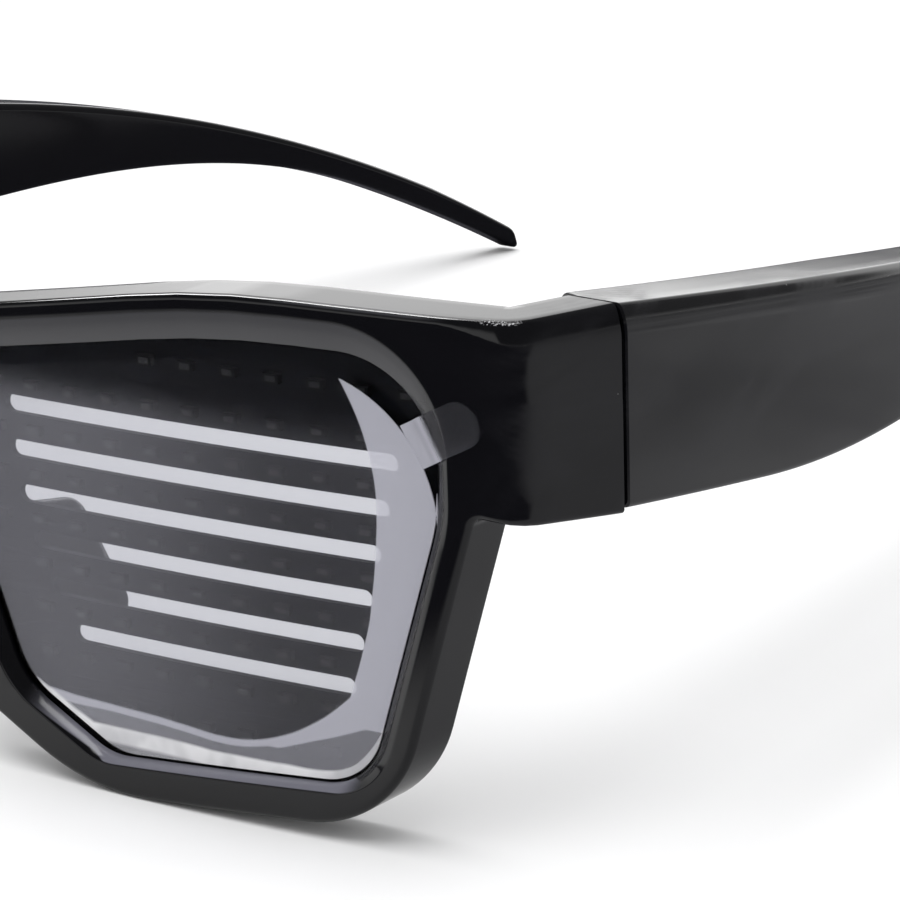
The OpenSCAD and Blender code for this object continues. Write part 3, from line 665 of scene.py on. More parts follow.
class Shader:
    """A few short calls for a node tree."""

    def __init__(self, tree):
        self.tree = tree

    def put(self, value, socket):
        """Links a value to a socket, or sets the socket to it."""
        if isinstance(value, Value):
            value = value.socket
        if isinstance(value, bpy.types.NodeSocket):
            self.tree.links.new(value, socket)
        else:
            socket.default_value = value

    def node(self, kind, **values):
        """Adds a node, sets its properties and its inputs."""
        node = self.tree.nodes.new(kind)
        for name, value in values.items():
            if name.startswith("in_"):
                key = name[3:]
                self.put(value, node.inputs[int(key) if key.isdigit() else key.replace("_", " ")])
            else:
                setattr(node, name, value)
        return node

    def math(self, operation, a, b=0.0, clamp=False):
        """A Math node's result."""
        node = self.node("ShaderNodeMath", operation=operation, use_clamp=clamp, in_0=a, in_1=b)
        return Value(self, node.outputs[0])

    def least(self, a, b):
        """The smaller of two values."""
        return self.math("MINIMUM", a, b)

    def most(self, a, b):
        """The larger of two values."""
        return self.math("MAXIMUM", a, b)

    def ramp(self, value, low, high, out_low=0.0, out_high=1.0):
        """Maps a value smoothly from one range to another."""
        node = self.node(
            "ShaderNodeMapRange", interpolation_type="SMOOTHSTEP",
            in_0=value, in_1=low, in_2=high, in_3=out_low, in_4=out_high,
        )
        return Value(self, node.outputs[0])

    def mix(self, factor, a, b):
        """Mixes two colours."""
        return self.node("ShaderNodeMix", data_type="RGBA", in_0=factor, in_6=a, in_7=b).outputs[2]

    def place(self):
        """Place on the object, in metres."""
        return self.node("ShaderNodeTexCoord").outputs["Object"]

    def mapped(self, **values):
        """The place, turned or stretched."""
        return self.node("ShaderNodeMapping", in_Vector=self.place(), **values).outputs[0]

    def axes(self, vector=None):
        """The three values of a vector, or else of the place."""
        node = self.node("ShaderNodeSeparateXYZ", in_0=vector or self.place())
        return [Value(self, socket) for socket in node.outputs]

    def noise(self, scale, detail=2.0, vector=None, **values):
        """A noise value from 0 to 1."""
        node = self.node(
            "ShaderNodeTexNoise", in_Scale=scale, in_Detail=detail,
            in_Vector=vector or self.place(), **values,
        )
        return Value(self, node.outputs[0])

    def group(self, tree, **values):
        """Places a node group with its own values and returns what it gives."""
        values = {f"in_{name}": value for name, value in values.items()}
        node = self.node("ShaderNodeGroup", node_tree=tree, **values)
        return [Value(self, socket) for socket in node.outputs]

    def bump(self, height, strength):
        """A bumped normal from a height in metres."""
        node = self.node("ShaderNodeBump", in_Strength=strength, in_Distance=1.0, in_Height=height)
        return node.outputs[0]


def shader_group(name, inputs, outputs, build):
    """Makes a shader node group of numbers once."""
    if name in bpy.data.node_groups:
        return bpy.data.node_groups[name]
    tree = bpy.data.node_groups.new(name, "ShaderNodeTree")
    for label, default in inputs:
        socket = tree.interface.new_socket(label, in_out="INPUT", socket_type="NodeSocketFloat")
        socket.default_value = default
    for label in outputs:
        tree.interface.new_socket(label, in_out="OUTPUT", socket_type="NodeSocketFloat")
    shader = Shader(tree)
    results = build(shader, shader.node("NodeGroupInput").outputs)
    leave = shader.node("NodeGroupOutput")
    for label, value in results.items():
        shader.put(value, leave.inputs[label])
    return tree


def handling(shader, entry):
    """Smears and prints that fingers leave on gloss: a mask, and a height for grain."""
    stretched = shader.mapped(in_Scale=(1, 0.55, 1.3))
    broad = shader.noise(entry["Smear scale"], 4.0, stretched, in_Distortion=1.2)
    ridges = shader.node(
        "ShaderNodeTexWave", in_Scale=520.0, in_Distortion=14.0, in_Detail=1.0, in_Detail_Scale=0.15,
        in_Vector=shader.mapped(in_Rotation=(0.4, 0.9, 0.5)),
    )
    smear = shader.ramp(broad, 0.42, 0.68) * shader.ramp(ridges.outputs[1], 0.2, 0.8, 0.78, 1.0)
    mask = shader.math("MULTIPLY", smear, entry["Amount"], clamp=True)
    return {"Mask": mask, "Height": shader.noise(2600.0) * entry["Grain"]}


def handled(shader, scale, amount, grain):
    """The smears' mask and the grain's height, from the group that every moulded finish uses."""
    inputs = [("Smear scale", 90.0), ("Amount", 1.0), ("Grain", 1.0)]
    tree = shader_group("handling_marks", inputs, ["Mask", "Height"], handling)
    return shader.group(tree, Smear_scale=scale, Amount=amount, Grain=grain)


def specks(shader, entry):
    """Small bright specks of dust, scattered over a surface."""
    place = shader.place()
    cells = shader.node("ShaderNodeTexVoronoi", in_Scale=entry["Scale"], in_Vector=place).outputs
    chance = shader.node("ShaderNodeSeparateColor", in_0=cells["Color"]).outputs
    size = shader.math("MULTIPLY", chance[1], entry["Size"])
    rare = shader.math("GREATER_THAN", chance[0], entry["Rarity"])
    return {"Mask": shader.math("LESS_THAN", cells["Distance"], size) * rare}


def dusted(shader, scale, size):
    """The mask of the dust specks on the film and mouldings."""
    inputs = [("Scale", 700.0), ("Size", 0.12), ("Rarity", 0.9)]
    tree = shader_group("dust_specks", inputs, ["Mask"], specks)
    return shader.group(tree, Scale=scale, Size=size, Rarity=0.955)[0]


def material(name, build, **constants):
    """Makes a material with one Principled BSDF, whose plain sockets are set directly."""
    if name in bpy.data.materials:
        return bpy.data.materials[name]
    made = bpy.data.materials.new(name)
    made.use_nodes = True
    bsdf = next(n for n in made.node_tree.nodes if n.type == "BSDF_PRINCIPLED")
    shader = Shader(made.node_tree)
    for label, value in {**constants, **build(shader)}.items():
        shader.put(value, bsdf.inputs[label.replace("_", " ")])
    return made


def moulding_finish():
    """Glossy black plastic with finger prints on its sides, faint dust, a worn corner, and painted
    reflections on the lower bevel and under the brow.
    """
    colour = bpy.context.scene.glasses_finish.moulding
    glasses = Glasses(bpy.context.scene)
    corner_x, corner_y = glasses.corner[0] * MM, (glasses.corner[1] - glasses.reach / 2) * MM

    def build(shader):
        ramp = shader.ramp
        mask, grain = handled(shader, 75.0, 1.0, 0.000002)
        x, y, z = shader.axes()
        x = abs(x)
        smear = mask * ramp(x, 0.0685, 0.0735, 0.12, 1.0)
        tone = shader.mix(smear, colour, (0.0058, 0.0058, 0.0074, 1))
        tone = shader.mix(dusted(shader, 520.0, 0.07) * 0.35, tone, (0.3, 0.3, 0.3, 1))

        # The worn edge on top of the outer corner
        away = shader.math("SQRT", (x - corner_x) ** 2.0 + (y - corner_y) ** 2.0)
        rim = ramp(away, 0.0024, 0.0026) * ramp(z, 0.0461, 0.04618) * ramp(x, corner_x - 0.001, corner_x)
        rim = rim * ramp(x, corner_x + 0.0024, corner_x + 0.0016)
        rim = rim * ramp(y, corner_y - 0.0008, corner_y - 0.0012)
        worn = rim * shader.math("GREATER_THAN", shader.noise(6000.0, 1.0), 0.6)
        tone = shader.mix(worn * 0.8, tone, (0.45, 0.45, 0.47, 1))

        # Painted reflection: the light on the lower bevel, by the depth behind the face and the height
        # over the rim
        sunk = y - x ** 2.0 * (500 / glasses.wrap_r) + glasses.reach / 2 * MM
        level = shader.least(z - (x - 0.0306) * 0.078 - 0.0025, x * 0.441 + z * 0.897 - 0.01672)
        lit = ramp(sunk, 0.00004, 0.00014) * ramp(sunk, 0.0022, 0.002)
        lit = lit * ramp(level, -0.00006, 0.00006) * ramp(level, 0.0013, 0.0011)
        lit = lit * (ramp(x, 0.0235, 0.029) * ramp(x, 0.0590, 0.0560))
        tone = shader.mix(lit, tone, (0.16, 0.16, 0.19, 1))

        # Painted reflection: the fainter light on the bevel under the brow
        brow = z - (x * 0.1675 + 0.0388)
        haze = ramp(sunk, 0.00008, 0.0002) * ramp(sunk, 0.0012, 0.0011) * ramp(brow, -0.0012, -0.0016)
        haze = haze * (ramp(z, 0.030, 0.036) * ramp(x, 0.068, 0.064))
        tone = shader.mix(haze, tone, (0.034, 0.034, 0.038, 1))
        height = grain + shader.noise(55.0, 1.0) * 0.00006
        rough = ramp(smear, 0.0, 1.0, 0.09, 0.24)
        return {"Base Color": tone, "Roughness": rough, "Normal": shader.bump(height, 0.5)}

    return material("gloss_black_moulding", build, Specular_IOR_Level=0.42)


def cover_finish():
    """Satin black plastic with a fine spark-eroded grain."""
    colour = bpy.context.scene.glasses_finish.cover

    def build(shader):
        mask, grain = handled(shader, 60.0, 0.7, 0.000012)
        tone = shader.mix(mask, colour, (0.02, 0.02, 0.021, 1))
        rough = shader.ramp(mask, 0.0, 1.0, 0.46, 0.6)
        return {"Base Color": tone, "Roughness": rough, "Normal": shader.bump(grain, 0.8)}

    return material("satin_black_cover", build, Specular_IOR_Level=0.4)


def lens_finish():
    """Lightly tinted clear plastic with fine wipe marks."""
    def build(shader):
        mask, grain = handled(shader, 120.0, 1.0, 0.0000003)
        return {"Roughness": shader.ramp(mask, 0.0, 1.0, 0.0, 0.03), "Normal": shader.bump(grain, 0.3)}

    return material(
        "tinted_lens", build, Base_Color=bpy.context.scene.glasses_finish.lens,
        Transmission_Weight=1.0, IOR=1.16, Metallic=0.0,
    )


def film_finish():
    """Clear film: nearly see-through, pale with a painted reflection where it lifts at its side and
    foot, with a painted bright band along its foot and dust under it.
    """
    colour = bpy.context.scene.glasses_finish.film

    def build(shader):
        ramp, least, most = shader.ramp, shader.least, shader.most
        x, _, z = shader.axes()
        x = abs(x)
        sway = (shader.noise(85.0) - 0.5) * 0.0008

        # Painted reflection: the lifted side and foot are pale, and their edges sway a little
        rise = z - 0.0303
        edge = 0.0602 - (most(rise, 0.0) ** 2.0 * 32.0 + least(rise, 0.0) ** 2.0 * 10.0)
        right = ramp(x + sway - edge, -0.00008, 0.00008)
        curve = most(x - 0.045, 0.0) ** 2.0 * 40.0 + 0.0071 + most(0.045 - x, 0.0) * 0.045
        z = z + sway
        foot = ramp(curve - z, -0.0001, 0.0002)

        # Less painted reflection in a darker patch in the foot, and hardly any where the tab lies on the
        # frame
        roof = least(most((x - 0.0502) * 0.38, -0.0001) + 0.0071, 0.0102)
        patch = ramp(least(roof, curve - 0.00065) - z, -0.0001, 0.00015)
        tab = ramp(x + z * 0.5, 0.0841, 0.0849)
        pale = most(foot, right) * (1.0 - patch * 0.72) * (1.0 - tab * 0.97)

        # Painted reflection: the bright band along the lower edge
        bowl = least(most(x - 0.0500, 0.0) ** 4.0 * 490000.0 + 0.0057, 0.0105)
        band = ramp(most(bowl, 0.02065 - x * 0.4916) - z, -0.0001, 0.0003)
        glare = band * ramp(shader.noise(260.0), 0.35, 0.6, 0.8, 1.0)
        glare = glare * ramp(x, 0.0530, 0.0580, 1.0, 0.6) * ramp(z, 0.0038, 0.0043, 0.45, 1.0)

        haze = ramp(x, 0.055, 0.027, 0.034, 0.111) * ramp(z, 0.0375, 0.0325, 0.06, 1.0)
        alpha = shader.math("ADD", haze + pale * 0.5, dusted(shader, 420.0, 0.1) * 0.4, clamp=True)
        return {
            "Alpha": most(alpha, glare * 0.68),
            "Base Color": shader.mix(glare, colour, (0.95, 0.95, 0.97, 1)),
            "Normal": shader.bump(shader.noise(140.0) * 0.00004, 0.6),
        }

    return material("clear_film", build, Roughness=0.12, Specular_IOR_Level=0.1)


def board_finish():
    """Black solder mask with faint copper runs under it."""
    colour = bpy.context.scene.glasses_finish.board

    def build(shader):
        weave = shader.noise(2200.0)
        runs = shader.ramp(shader.noise(900.0, 1.0, shader.mapped(in_Scale=(0.12, 1, 1))), 0.55, 0.6)
        return {
            "Base Color": shader.mix(runs * 0.35, colour, (0.02, 0.022, 0.03, 1)),
            "Roughness": shader.ramp(weave, 0.3, 0.7, 0.42, 0.55),
            "Normal": shader.bump(weave * 0.000008 + runs * 0.00002, 0.6),
        }

    return material("black_solder_mask", build, Specular_IOR_Level=0.04)


def plain_finish(name, dark, light, rough, grain_scale, grain, **constants):
    """A finish with colour variation and grain of its own scale."""
    def build(shader):
        value = shader.noise(grain_scale, 3.0)
        return {
            "Base Color": shader.mix(shader.ramp(value, 0.3, 0.7), (*dark, 1), (*light, 1)),
            "Roughness": shader.ramp(value, 0.3, 0.7, *rough),
            "Normal": shader.bump(value * grain, 0.6),
        }

    return material(name, build, **constants)


def brushed_finish(name, tone, rough, way):
    """Plated steel with fine drawn lines along one way."""
    def build(shader):
        lines = shader.noise(4000.0, 3.0, shader.mapped(in_Scale=way))
        return {
            "Base Color": shader.mix(lines, (*[0.8 * c for c in tone], 1), (*tone, 1)),
            "Roughness": shader.ramp(lines, 0.2, 0.8, rough - 0.08, rough + 0.08),
            "Normal": shader.bump(lines * 0.000004, 0.5),
        }

    return material(name, build, Metallic=1.0)


# Pieces


def fillet(radius, steps):
    """Depths and insets of a quarter-round edge, from the face to the side."""
    turns = [math.pi / 2 * k / steps for k in range(steps + 1)]
    return [(radius * (1 - math.cos(t)), radius * (1 - math.sin(t))) for t in turns]


def eased(share):
    """A soft start and end for a share from 0 to 1."""
    return share * share * (3 - 2 * share)


def front_rings(glasses):
    """Rings round the front from its face to its back, with both edges rounded."""
    ring, end = glasses.front, glasses.s_end
    at_seam = np.abs(np.abs(ring[:, 0]) - end) < 1e-6

    # The face's edge gets softer and deeper at the top of the outer corner.
    turned = np.clip((np.abs(ring[:, 0]) - glasses.s_corner + 5) / 8, 0, 1)
    turned = eased(turned * (ring[:, 1] > glasses.high - 8))
    deep, soft, none = 1 + 0.67 * turned, 1 + 3.5 * turned, 0 * turned
    back, lip = 0.3, 0.15
    levels = [(none, glasses.edge * soft + lip)]
    levels += [(d * deep, w * soft) for d, w in fillet(glasses.edge, 8)]
    sides = [k / 5 for k in range(1, 5)]
    levels += [(glasses.edge * deep * (1 - t) + (glasses.depth - back) * t, none) for t in sides]
    levels += [(glasses.depth - d + none, w + none) for d, w in reversed(fillet(back, 3))]

    # At the seam the rings only step in a little, so that the gap stays narrow.
    rings, side = [], np.sign(ring[at_seam, 0])
    for depth, width in levels:
        moved_in = shrunk(ring, width)
        moved_in[at_seam, 0] = side * (end - np.minimum(width[at_seam], 0.6) * 0.3)
        rings.append((moved_in, depth))
    return rings


def window_rings(glasses):
    """Rings down a window: a soft lip, the bevel and a short wall down to the lens."""
    lip = shrunk(glasses.face_ring, -0.2)
    face, window, deep = glasses.face_ring, glasses.window, glasses.bevel_depth
    near = face + (window - face) * 0.15
    rings = []
    for u in (0, 0.33, 0.67, 1):
        ring = (1 - u) ** 2 * lip + 2 * u * (1 - u) * face + u * u * near
        rings.append((ring, u * u * deep * 0.15))
    for t, rise in ((0.35, 0.06), (0.6, 0.08), (0.85, 0.05)):
        rings.append((face + (window - face) * t, deep * t - rise))
    rings += [(window, deep), (window, glasses.lens_depth)]
    return rings


def make_front(glasses):
    """The front moulding, with its lens pockets, cover recess and hinge seats."""
    build = Build(glasses)
    rings = front_rings(glasses)
    build.bent(rings)
    windows, pockets = [], []
    for side in (1, -1):
        rows = [(ring * [side, 1], depth) for ring, depth in window_rings(glasses)]
        pocket = glasses.pocket * [side, 1]
        build.bent(rows)
        build.bent([(pocket, glasses.lens_depth), (pocket, glasses.cover_depth)])
        build.level(pocket, [rows[-1][0]], glasses.lens_depth, 3)
        windows.append(rows[0][0])
        pockets.append(pocket)
    build.level(rings[0][0], windows, 0)
    recess = glasses.mask_ring(COVER_INSET - ROOM)
    build.bent([(recess, glasses.cover_depth), (recess, glasses.depth)])
    build.level(recess, pockets, glasses.cover_depth, 3)
    build.level(rings[-1][0], [recess], glasses.depth)
    piece = build.make("front_moulding")
    leaf = moved(glasses.leaf_x, glasses.seam_y - 0.15, 0, -FLARE)
    screw = leaf @ moved(0, -SCREW_PLACE, glasses.hinge_z, math.pi / 2, "Y")
    way = (glasses.seam_y - 1.1, glasses.seam_y + 2)
    parts = hinge_seat(glasses, way, (-0.5, 0.5), (-6.65, 0.3), leaf)
    parts += [drum(glasses, SCREW_HEAD_R, -5, -0.95, screw), drum(glasses, SCREW_R, -5, 1.6, screw)]
    parts += [part.mirrored() for part in parts]
    cut(piece, *[part.make("cutter") for part in parts])
    return smoothed(piece)


def hinge_seat(glasses, way, leaf_x, leaf_y, frame=None):
    """The hollow for a hinge's knuckles, the way from it to the leaf, and the leaf's slot."""
    low, high = glasses.hinge_low - ROOM, glasses.hinge_low + glasses.hinge_h + ROOM
    return [
        drum(glasses, KNUCKLE_R, low, high + 0.9, moved(glasses.hinge_x, glasses.hinge_y, 0)),
        block(glasses, (glasses.hinge_x, way[0], low), (glasses.leaf_x + 0.5, way[1], high)),
        block(glasses, (leaf_x[0], leaf_y[0], low), (leaf_x[1], leaf_y[1], high), frame),
    ]


def plate(glasses, outer, holes, depth, thickness, edge, spacing=2.5):
    """A bent plate with rounded front and back edges, and holes through it."""
    build = Build(glasses)
    rows = [(shrunk(outer, w), depth + d) for d, w in fillet(edge, 3)]
    rows += [(shrunk(outer, w), depth + thickness - d) for d, w in reversed(fillet(edge, 3))]
    build.bent(rows)
    for hole in holes:
        build.bent([(hole, depth), (hole, depth + thickness)])
    for at in (depth, depth + thickness):
        build.level(shrunk(outer, edge), holes, at, spacing)
    return build


def both(build, name):
    """A piece for the right side and its mirror image for the left, each with its side."""
    return [(build.make(f"{name}_right"), "right"), (build.mirrored().make(f"{name}_left"), "left")]


def tab_points(glasses):
    """The film's pull tab: it leaves the sheet, climbs the bevel and lies on the frame."""
    turn = math.radians(28)
    root = np.array([glasses.half - 14.2, glasses.high - 11.7])
    rows, columns = 30, 10
    start, length, round_end = 0.8, 7.8, 1.9
    along = np.array([math.cos(turn), math.sin(turn)])
    across = np.array([-math.sin(turn), math.cos(turn)])
    sheet = glasses.lens_depth - FILM_GAP - glasses.film_t / 2
    points = []
    for i in range(rows + 1):
        d = start + length * i / rows
        half = glasses.tab_w / 2
        left = start + length - d
        if left < round_end:
            half = half - round_end + math.sqrt(max(round_end**2 - (round_end - left) ** 2, 0.0))
        depth = sheet + (-0.1 - sheet) * eased(min(max((d - 1.4) / 2.6, 0), 1))
        curl = 0.22 * max(d - 6.2, 0) ** 2 / 6
        for j in range(columns + 1):
            p = root + along * d + across * half * (2 * j / columns - 1)
            points.append((p[0], p[1], depth - curl))
    return np.array(points), rows, columns


def make_film(glasses):
    """The clear film over a lens, with its pull tab."""
    sheet = plate(glasses, glasses.film, [], glasses.film_depth, glasses.film_t, 0.03, 1.6)
    points, rows, columns = tab_points(glasses)
    flat = np.stack([glasses.s(points[:, 0]), points[:, 1]], 1)
    wide = columns + 1
    front = sheet.add(glasses.bend(flat, points[:, 2] - TAB_T / 2))
    back = sheet.add(glasses.bend(flat, points[:, 2] + TAB_T / 2))
    for i in range(rows):
        for j in range(columns):
            a = i * wide + j
            sheet.faces.append((front + a, front + a + 1, front + a + wide + 1, front + a + wide))
            sheet.faces.append((back + a, back + a + wide, back + a + wide + 1, back + a + 1))
    rim = list(range(wide)) + [i * wide + columns for i in range(1, rows + 1)]
    rim += [rows * wide + j for j in range(columns - 1, -1, -1)]
    rim += [i * wide for i in range(rows - 1, 0, -1)]
    for a, b in zip(rim, rim[1:] + rim[:1]):
        sheet.faces.append((front + a, back + a, back + b, front + b))
    return sheet


def make_board(glasses):
    """A light board with its see-through slots."""
    return plate(glasses, glasses.lens, glasses.slots(), glasses.board_depth, glasses.board_t, 0.05)


def light_places(glasses):
    """Where the chip lights sit, between the slots and above and below them, and their turns."""
    middle = (SLOTS_FROM + glasses.half - SLOTS_TO) / 2 + 0.25
    corners = glasses.window_corners
    room = inset(corners, [2] * len(corners))
    out = []
    for row in range(9):
        for column in range(-6, 7):
            x = middle + column * glasses.column_pitch
            z = glasses.high - TOP_SLOT + (1.5 - row) * glasses.row_pitch
            if inside(np.array([[float(glasses.s(x)), z]]), room)[0]:
                y = float(glasses.wrap(x)) + glasses.board_depth
                out.append((x, y, z, math.asin(x / glasses.wrap_r)))
    return out


def light_tree(body, window):
    """Geometry nodes that put one chip light on each point of a mesh."""
    tree = bpy.data.node_groups.new("chip_lights", "GeometryNodeTree")
    face = tree.interface
    face.new_socket("Geometry", in_out="INPUT", socket_type="NodeSocketGeometry")
    size = face.new_socket("Size", in_out="INPUT", socket_type="NodeSocketVector")
    share = face.new_socket("Window share", in_out="INPUT", socket_type="NodeSocketFloat")
    face.new_socket("Geometry", in_out="OUTPUT", socket_type="NodeSocketGeometry")
    make = Shader(tree).node
    entry = make("NodeGroupInput").outputs
    case = make("GeometryNodeMeshCube", in_Size=entry["Size"])
    case = make("GeometryNodeSetMaterial", in_Geometry=case.outputs["Mesh"], in_Material=body)
    small = make("ShaderNodeVectorMath", operation="SCALE", in_0=entry["Size"])
    tree.links.new(entry["Window share"], small.inputs["Scale"])
    lit = make("GeometryNodeMeshCube", in_Size=small.outputs[0])
    split = make("ShaderNodeSeparateXYZ", in_0=entry["Size"])
    out = make("ShaderNodeMath", operation="MULTIPLY", in_0=split.outputs[1], in_1=-0.22)
    ahead = make("ShaderNodeCombineXYZ", in_1=out.outputs[0])
    lit = make("GeometryNodeTransform", in_Geometry=lit.outputs["Mesh"], in_Translation=ahead.outputs[0])
    lit = make("GeometryNodeSetMaterial", in_Geometry=lit.outputs[0], in_Material=window)
    join = make("GeometryNodeJoinGeometry", in_0=case.outputs[0])
    tree.links.new(lit.outputs[0], join.inputs[0])
    turn = make("GeometryNodeInputNamedAttribute", data_type="FLOAT_VECTOR", in_Name="turn")
    spread = make(
        "GeometryNodeInstanceOnPoints",
        in_Points=entry["Geometry"], in_Instance=join.outputs[0], in_Rotation=turn.outputs[0],
    )
    real = make("GeometryNodeRealizeInstances", in_0=spread.outputs[0])
    make("NodeGroupOutput", in_0=real.outputs[0])
    return tree, size.identifier, share.identifier


def make_temple(glasses, port):
    """A temple lofted along its length, with its cover seat, hinge seat and port mouth."""
    build = Build(glasses)
    first = glasses.temple_from
    ys = [first, first + 0.06, first + 0.15, first + 0.3, first + 0.7, first + 1.07, first + 1.3]
    ys += list(np.arange(first + 2, glasses.reach - 2.2, 1.5))
    ys += [glasses.reach - k for k in (1.6, 1.2, 0.85, 0.55, 0.3, 0.12, 0.0)]
    rings, tip_r = [], 0.85
    for y in ys:
        out, top = glasses.out(y), glasses.top(y)
        low = max(top - glasses.tall(y), 0.0)
        into = max(out - glasses.thick(y), glasses.half - glasses.end_t + 0.4 - (y - first) * 3 / 1.6)

        # Both ends are rounded: the sections get smaller near the seam and near the tip.
        end_in = max(y - (glasses.reach - tip_r), 0)
        end_in = tip_r - math.sqrt(max(tip_r**2 - end_in**2, 0)) if end_in else 0
        take = min(max(0.15 - (y - first), 0) + end_in * 0.9, 1.4)
        edge = glasses.temple_edge
        full = 1 - min(max((y - 70) / 60, 0), 1)
        top_r = (edge + 0.4 * full, edge + 2.1 * full)

        # The tip leans forward towards its top.
        lean = 1.2 * min(max((y - glasses.reach + 16) / 16, 0), 1)
        x0, x1, z0, z1 = into + take, out - take, low + take, top - take
        corners = [(x1, z0, (edge, edge), -90), (x1, z1, top_r, 0)]
        corners += [(x0, z1, (0.9, 0.9), 90), (x0, z0, (0.9, 0.9), 180)]
        ring = []
        for cx, cz, r, start in corners:
            rx, rz = min(r[0], (x1 - x0) * 0.45), min(r[1], (z1 - z0) * 0.45)
            px = cx - math.copysign(rx, cx - (x0 + x1) / 2)
            pz = cz - math.copysign(rz, cz - (z0 + z1) / 2)
            for k in range(13):
                t = math.radians(start + 90 * k / 12)
                ring.append((px + rx * math.cos(t), y, pz + rz * math.sin(t)))
        ring = np.array(ring)
        ring[:, 1] -= lean * (ring[:, 2] - low) / max(top - low, 1e-6)
        rings.append(matched_heights(ring))
    build.closed(rings)
    name = "temple_moulding_right" if port else "temple_moulding_left"
    piece = (build if port else build.mirrored()).make(name)
    cutters = temple_cutters(glasses, port)
    cut(piece, *[(c if port else c.mirrored()).make("cutter") for c in cutters])
    return smoothed(piece)


def matched_heights(ring):
    """Splits the two long sides of a temple's section, so that its faces stay square."""
    out = []
    for i in range(len(ring)):
        a, b = ring[i], ring[(i + 1) % len(ring)]
        out.append(a)
        if i in (12, 38):
            out += [a + (b - a) * k / 8 for k in range(1, 8)]
        if i in (25, 51):
            out += [a + (b - a) * k / 3 for k in range(1, 3)]
    return np.array(out)


def temple_slab(glasses, y0, y1, rim, x_out, x_in):
    """A closed slab that follows a temple, between two depths from its inner face."""
    build = Build(glasses)
    rings = []
    for y in np.linspace(y0, y1, 24):
        top, low = glasses.top(y) - rim, glasses.top(y) - glasses.tall(y) + rim
        a, b = glasses.out(y) - x_out(y), glasses.out(y) - x_in(y)
        rings.append([(a, y, low), (a, y, top), (b, y, top), (b, y, low)])
    return build.closed(rings)


def in_temple(glasses, y):
    """The frame on a temple's outer face at a station."""
    z = glasses.top(y) - glasses.tall(y) / 2
    return moved(glasses.out(y), y, z, glasses.yaw(y)) @ Matrix.Rotation(-glasses.slope, 4, "X")


def temple_cutters(glasses, port):
    """What is cut out of a temple."""
    first = glasses.temple_from
    screw_y = first + 0.15 + 6.6 * 0.56
    screw = moved(glasses.out(screw_y) - glasses.temple_t, screw_y, glasses.hinge_z, math.pi / 2, "Y")
    leaf_x = (glasses.leaf_x - 0.5, glasses.leaf_x + 0.5)

    def past(y):
        """A depth from the outer face that lies beyond the inner one."""
        return glasses.thick(y) + 5

    # The lid's seat, and the hollow under it
    cutters = [
        temple_slab(glasses, 25.5, 68.2, 1.0, lambda y: glasses.thick(y) - LID_T, past),
        temple_slab(glasses, 29.2, 63.2, 1.4, lambda y: 1.4, past),
    ]
    cutters += hinge_seat(glasses, (first - 1, first + 1.1), leaf_x, (first - 1, first + 6.8))
    cutters += [drum(glasses, SCREW_HEAD_R, -1, 0.55, screw), drum(glasses, SCREW_R, -1, 5.2, screw)]
    if port:
        frame = in_temple(glasses, 46.2)
        cutters.append(block(glasses, (-5.55, -10.6, -9.5), (-2.35, -1.8, -5.0), frame))
    return cutters


def make_pad(glasses):
    """A nose pad: a soft blade hulled round four balls, seated on the back cover."""
    base = float(glasses.wrap(15.3)) + glasses.depth
    balls = [
        ((15.3, base, 20.0), 1.7), ((18.9, base, 12.6), 1.7),
        ((15.7, base + 9.6, 18.0), 2.0), ((20.3, base + 9.6, 11.0), 2.0),
    ]
    cloud, rows, columns = [], 24, 48
    for centre, radius in balls:
        for i in range(rows + 1):
            t = math.pi * i / rows
            for j in range(columns):
                u = 2 * math.pi * j / columns
                way = [math.sin(t) * math.cos(u), math.cos(t), math.sin(t) * math.sin(u)]
                cloud.append(np.array(centre) + radius * np.array(way))
    cloud = (np.array(cloud) - [0, glasses.reach / 2, 0]) * MM
    mesh = bpy.data.meshes.new("pad")
    bm = bmesh.new()
    for p in cloud:
        bm.verts.new(p)
    hull = bmesh.ops.convex_hull(bm, input=bm.verts)
    loose = {v for v in hull["geom_interior"] + hull["geom_unused"] if isinstance(v, bmesh.types.BMVert)}
    bmesh.ops.delete(bm, geom=list(loose), context="VERTS")
    bmesh.ops.recalc_face_normals(bm, faces=bm.faces)
    bm.to_mesh(mesh)
    bm.free()
    piece = placed("nose_pad_moulding_right", mesh)
    wall = Build(glasses)
    ring = matched([np.array([(0, -2), (40, -2), (40, 45), (0, 45)], float)], 2.0)[0]
    ends = (-8, glasses.depth + 0.02)
    wall.walls([lift(glasses, ring, depth) for depth in ends])
    for depth in ends:
        wall.cap(ring, [], lambda p, depth=depth: lift(glasses, p, depth), 3)
    cut(piece, wall.make("cutter"))
    return smoothed(piece, 30)


def lift(glasses, points, depth):
    """Places flat points on the wrap without holding them above the floor."""
    x = np.asarray(points)[:, 0]
    return np.stack([x, glasses.wrap(x) + depth, np.asarray(points)[:, 1]], 1)


def mirror_piece(piece, name):
    """A mirrored copy of a finished piece."""
    mesh = piece.data.copy()
    mesh.transform(Matrix.Scale(-1, 4, (1, 0, 0)))
    mesh.flip_normals()
    tidy(mesh)
    return smoothed(placed(name, mesh), 30)


# Operators


class GLASSES_OT_front(bpy.types.Operator):
    """Make the front moulding and the cover behind it"""

    bl_idname = "glasses.front"
    bl_label = "Front and back cover"

    def execute(self, context):
        glasses = Glasses(context.scene)
        dressed(make_front(glasses), "front", "front_frame", moulding_finish())
        holes = [glasses.cover_hole, glasses.cover_hole * [-1, 1]]
        for x, z in ((3.5, glasses.high - 9.4), (glasses.half - 10.9, glasses.high - 3.2), (13.6, 25.5)):
            for side in (1, -1):
                holes.append(circle((side * float(glasses.s(x)), z), SCREW_HEAD_R))
        outer = glasses.mask_ring(COVER_INSET)
        cover = plate(glasses, outer, holes, glasses.cover_depth, COVER_T, 0.25, 3)
        piece = smoothed(cover.make("rear_cover"))
        dressed(piece, "front", "back_cover", cover_finish())
        return {"FINISHED"}


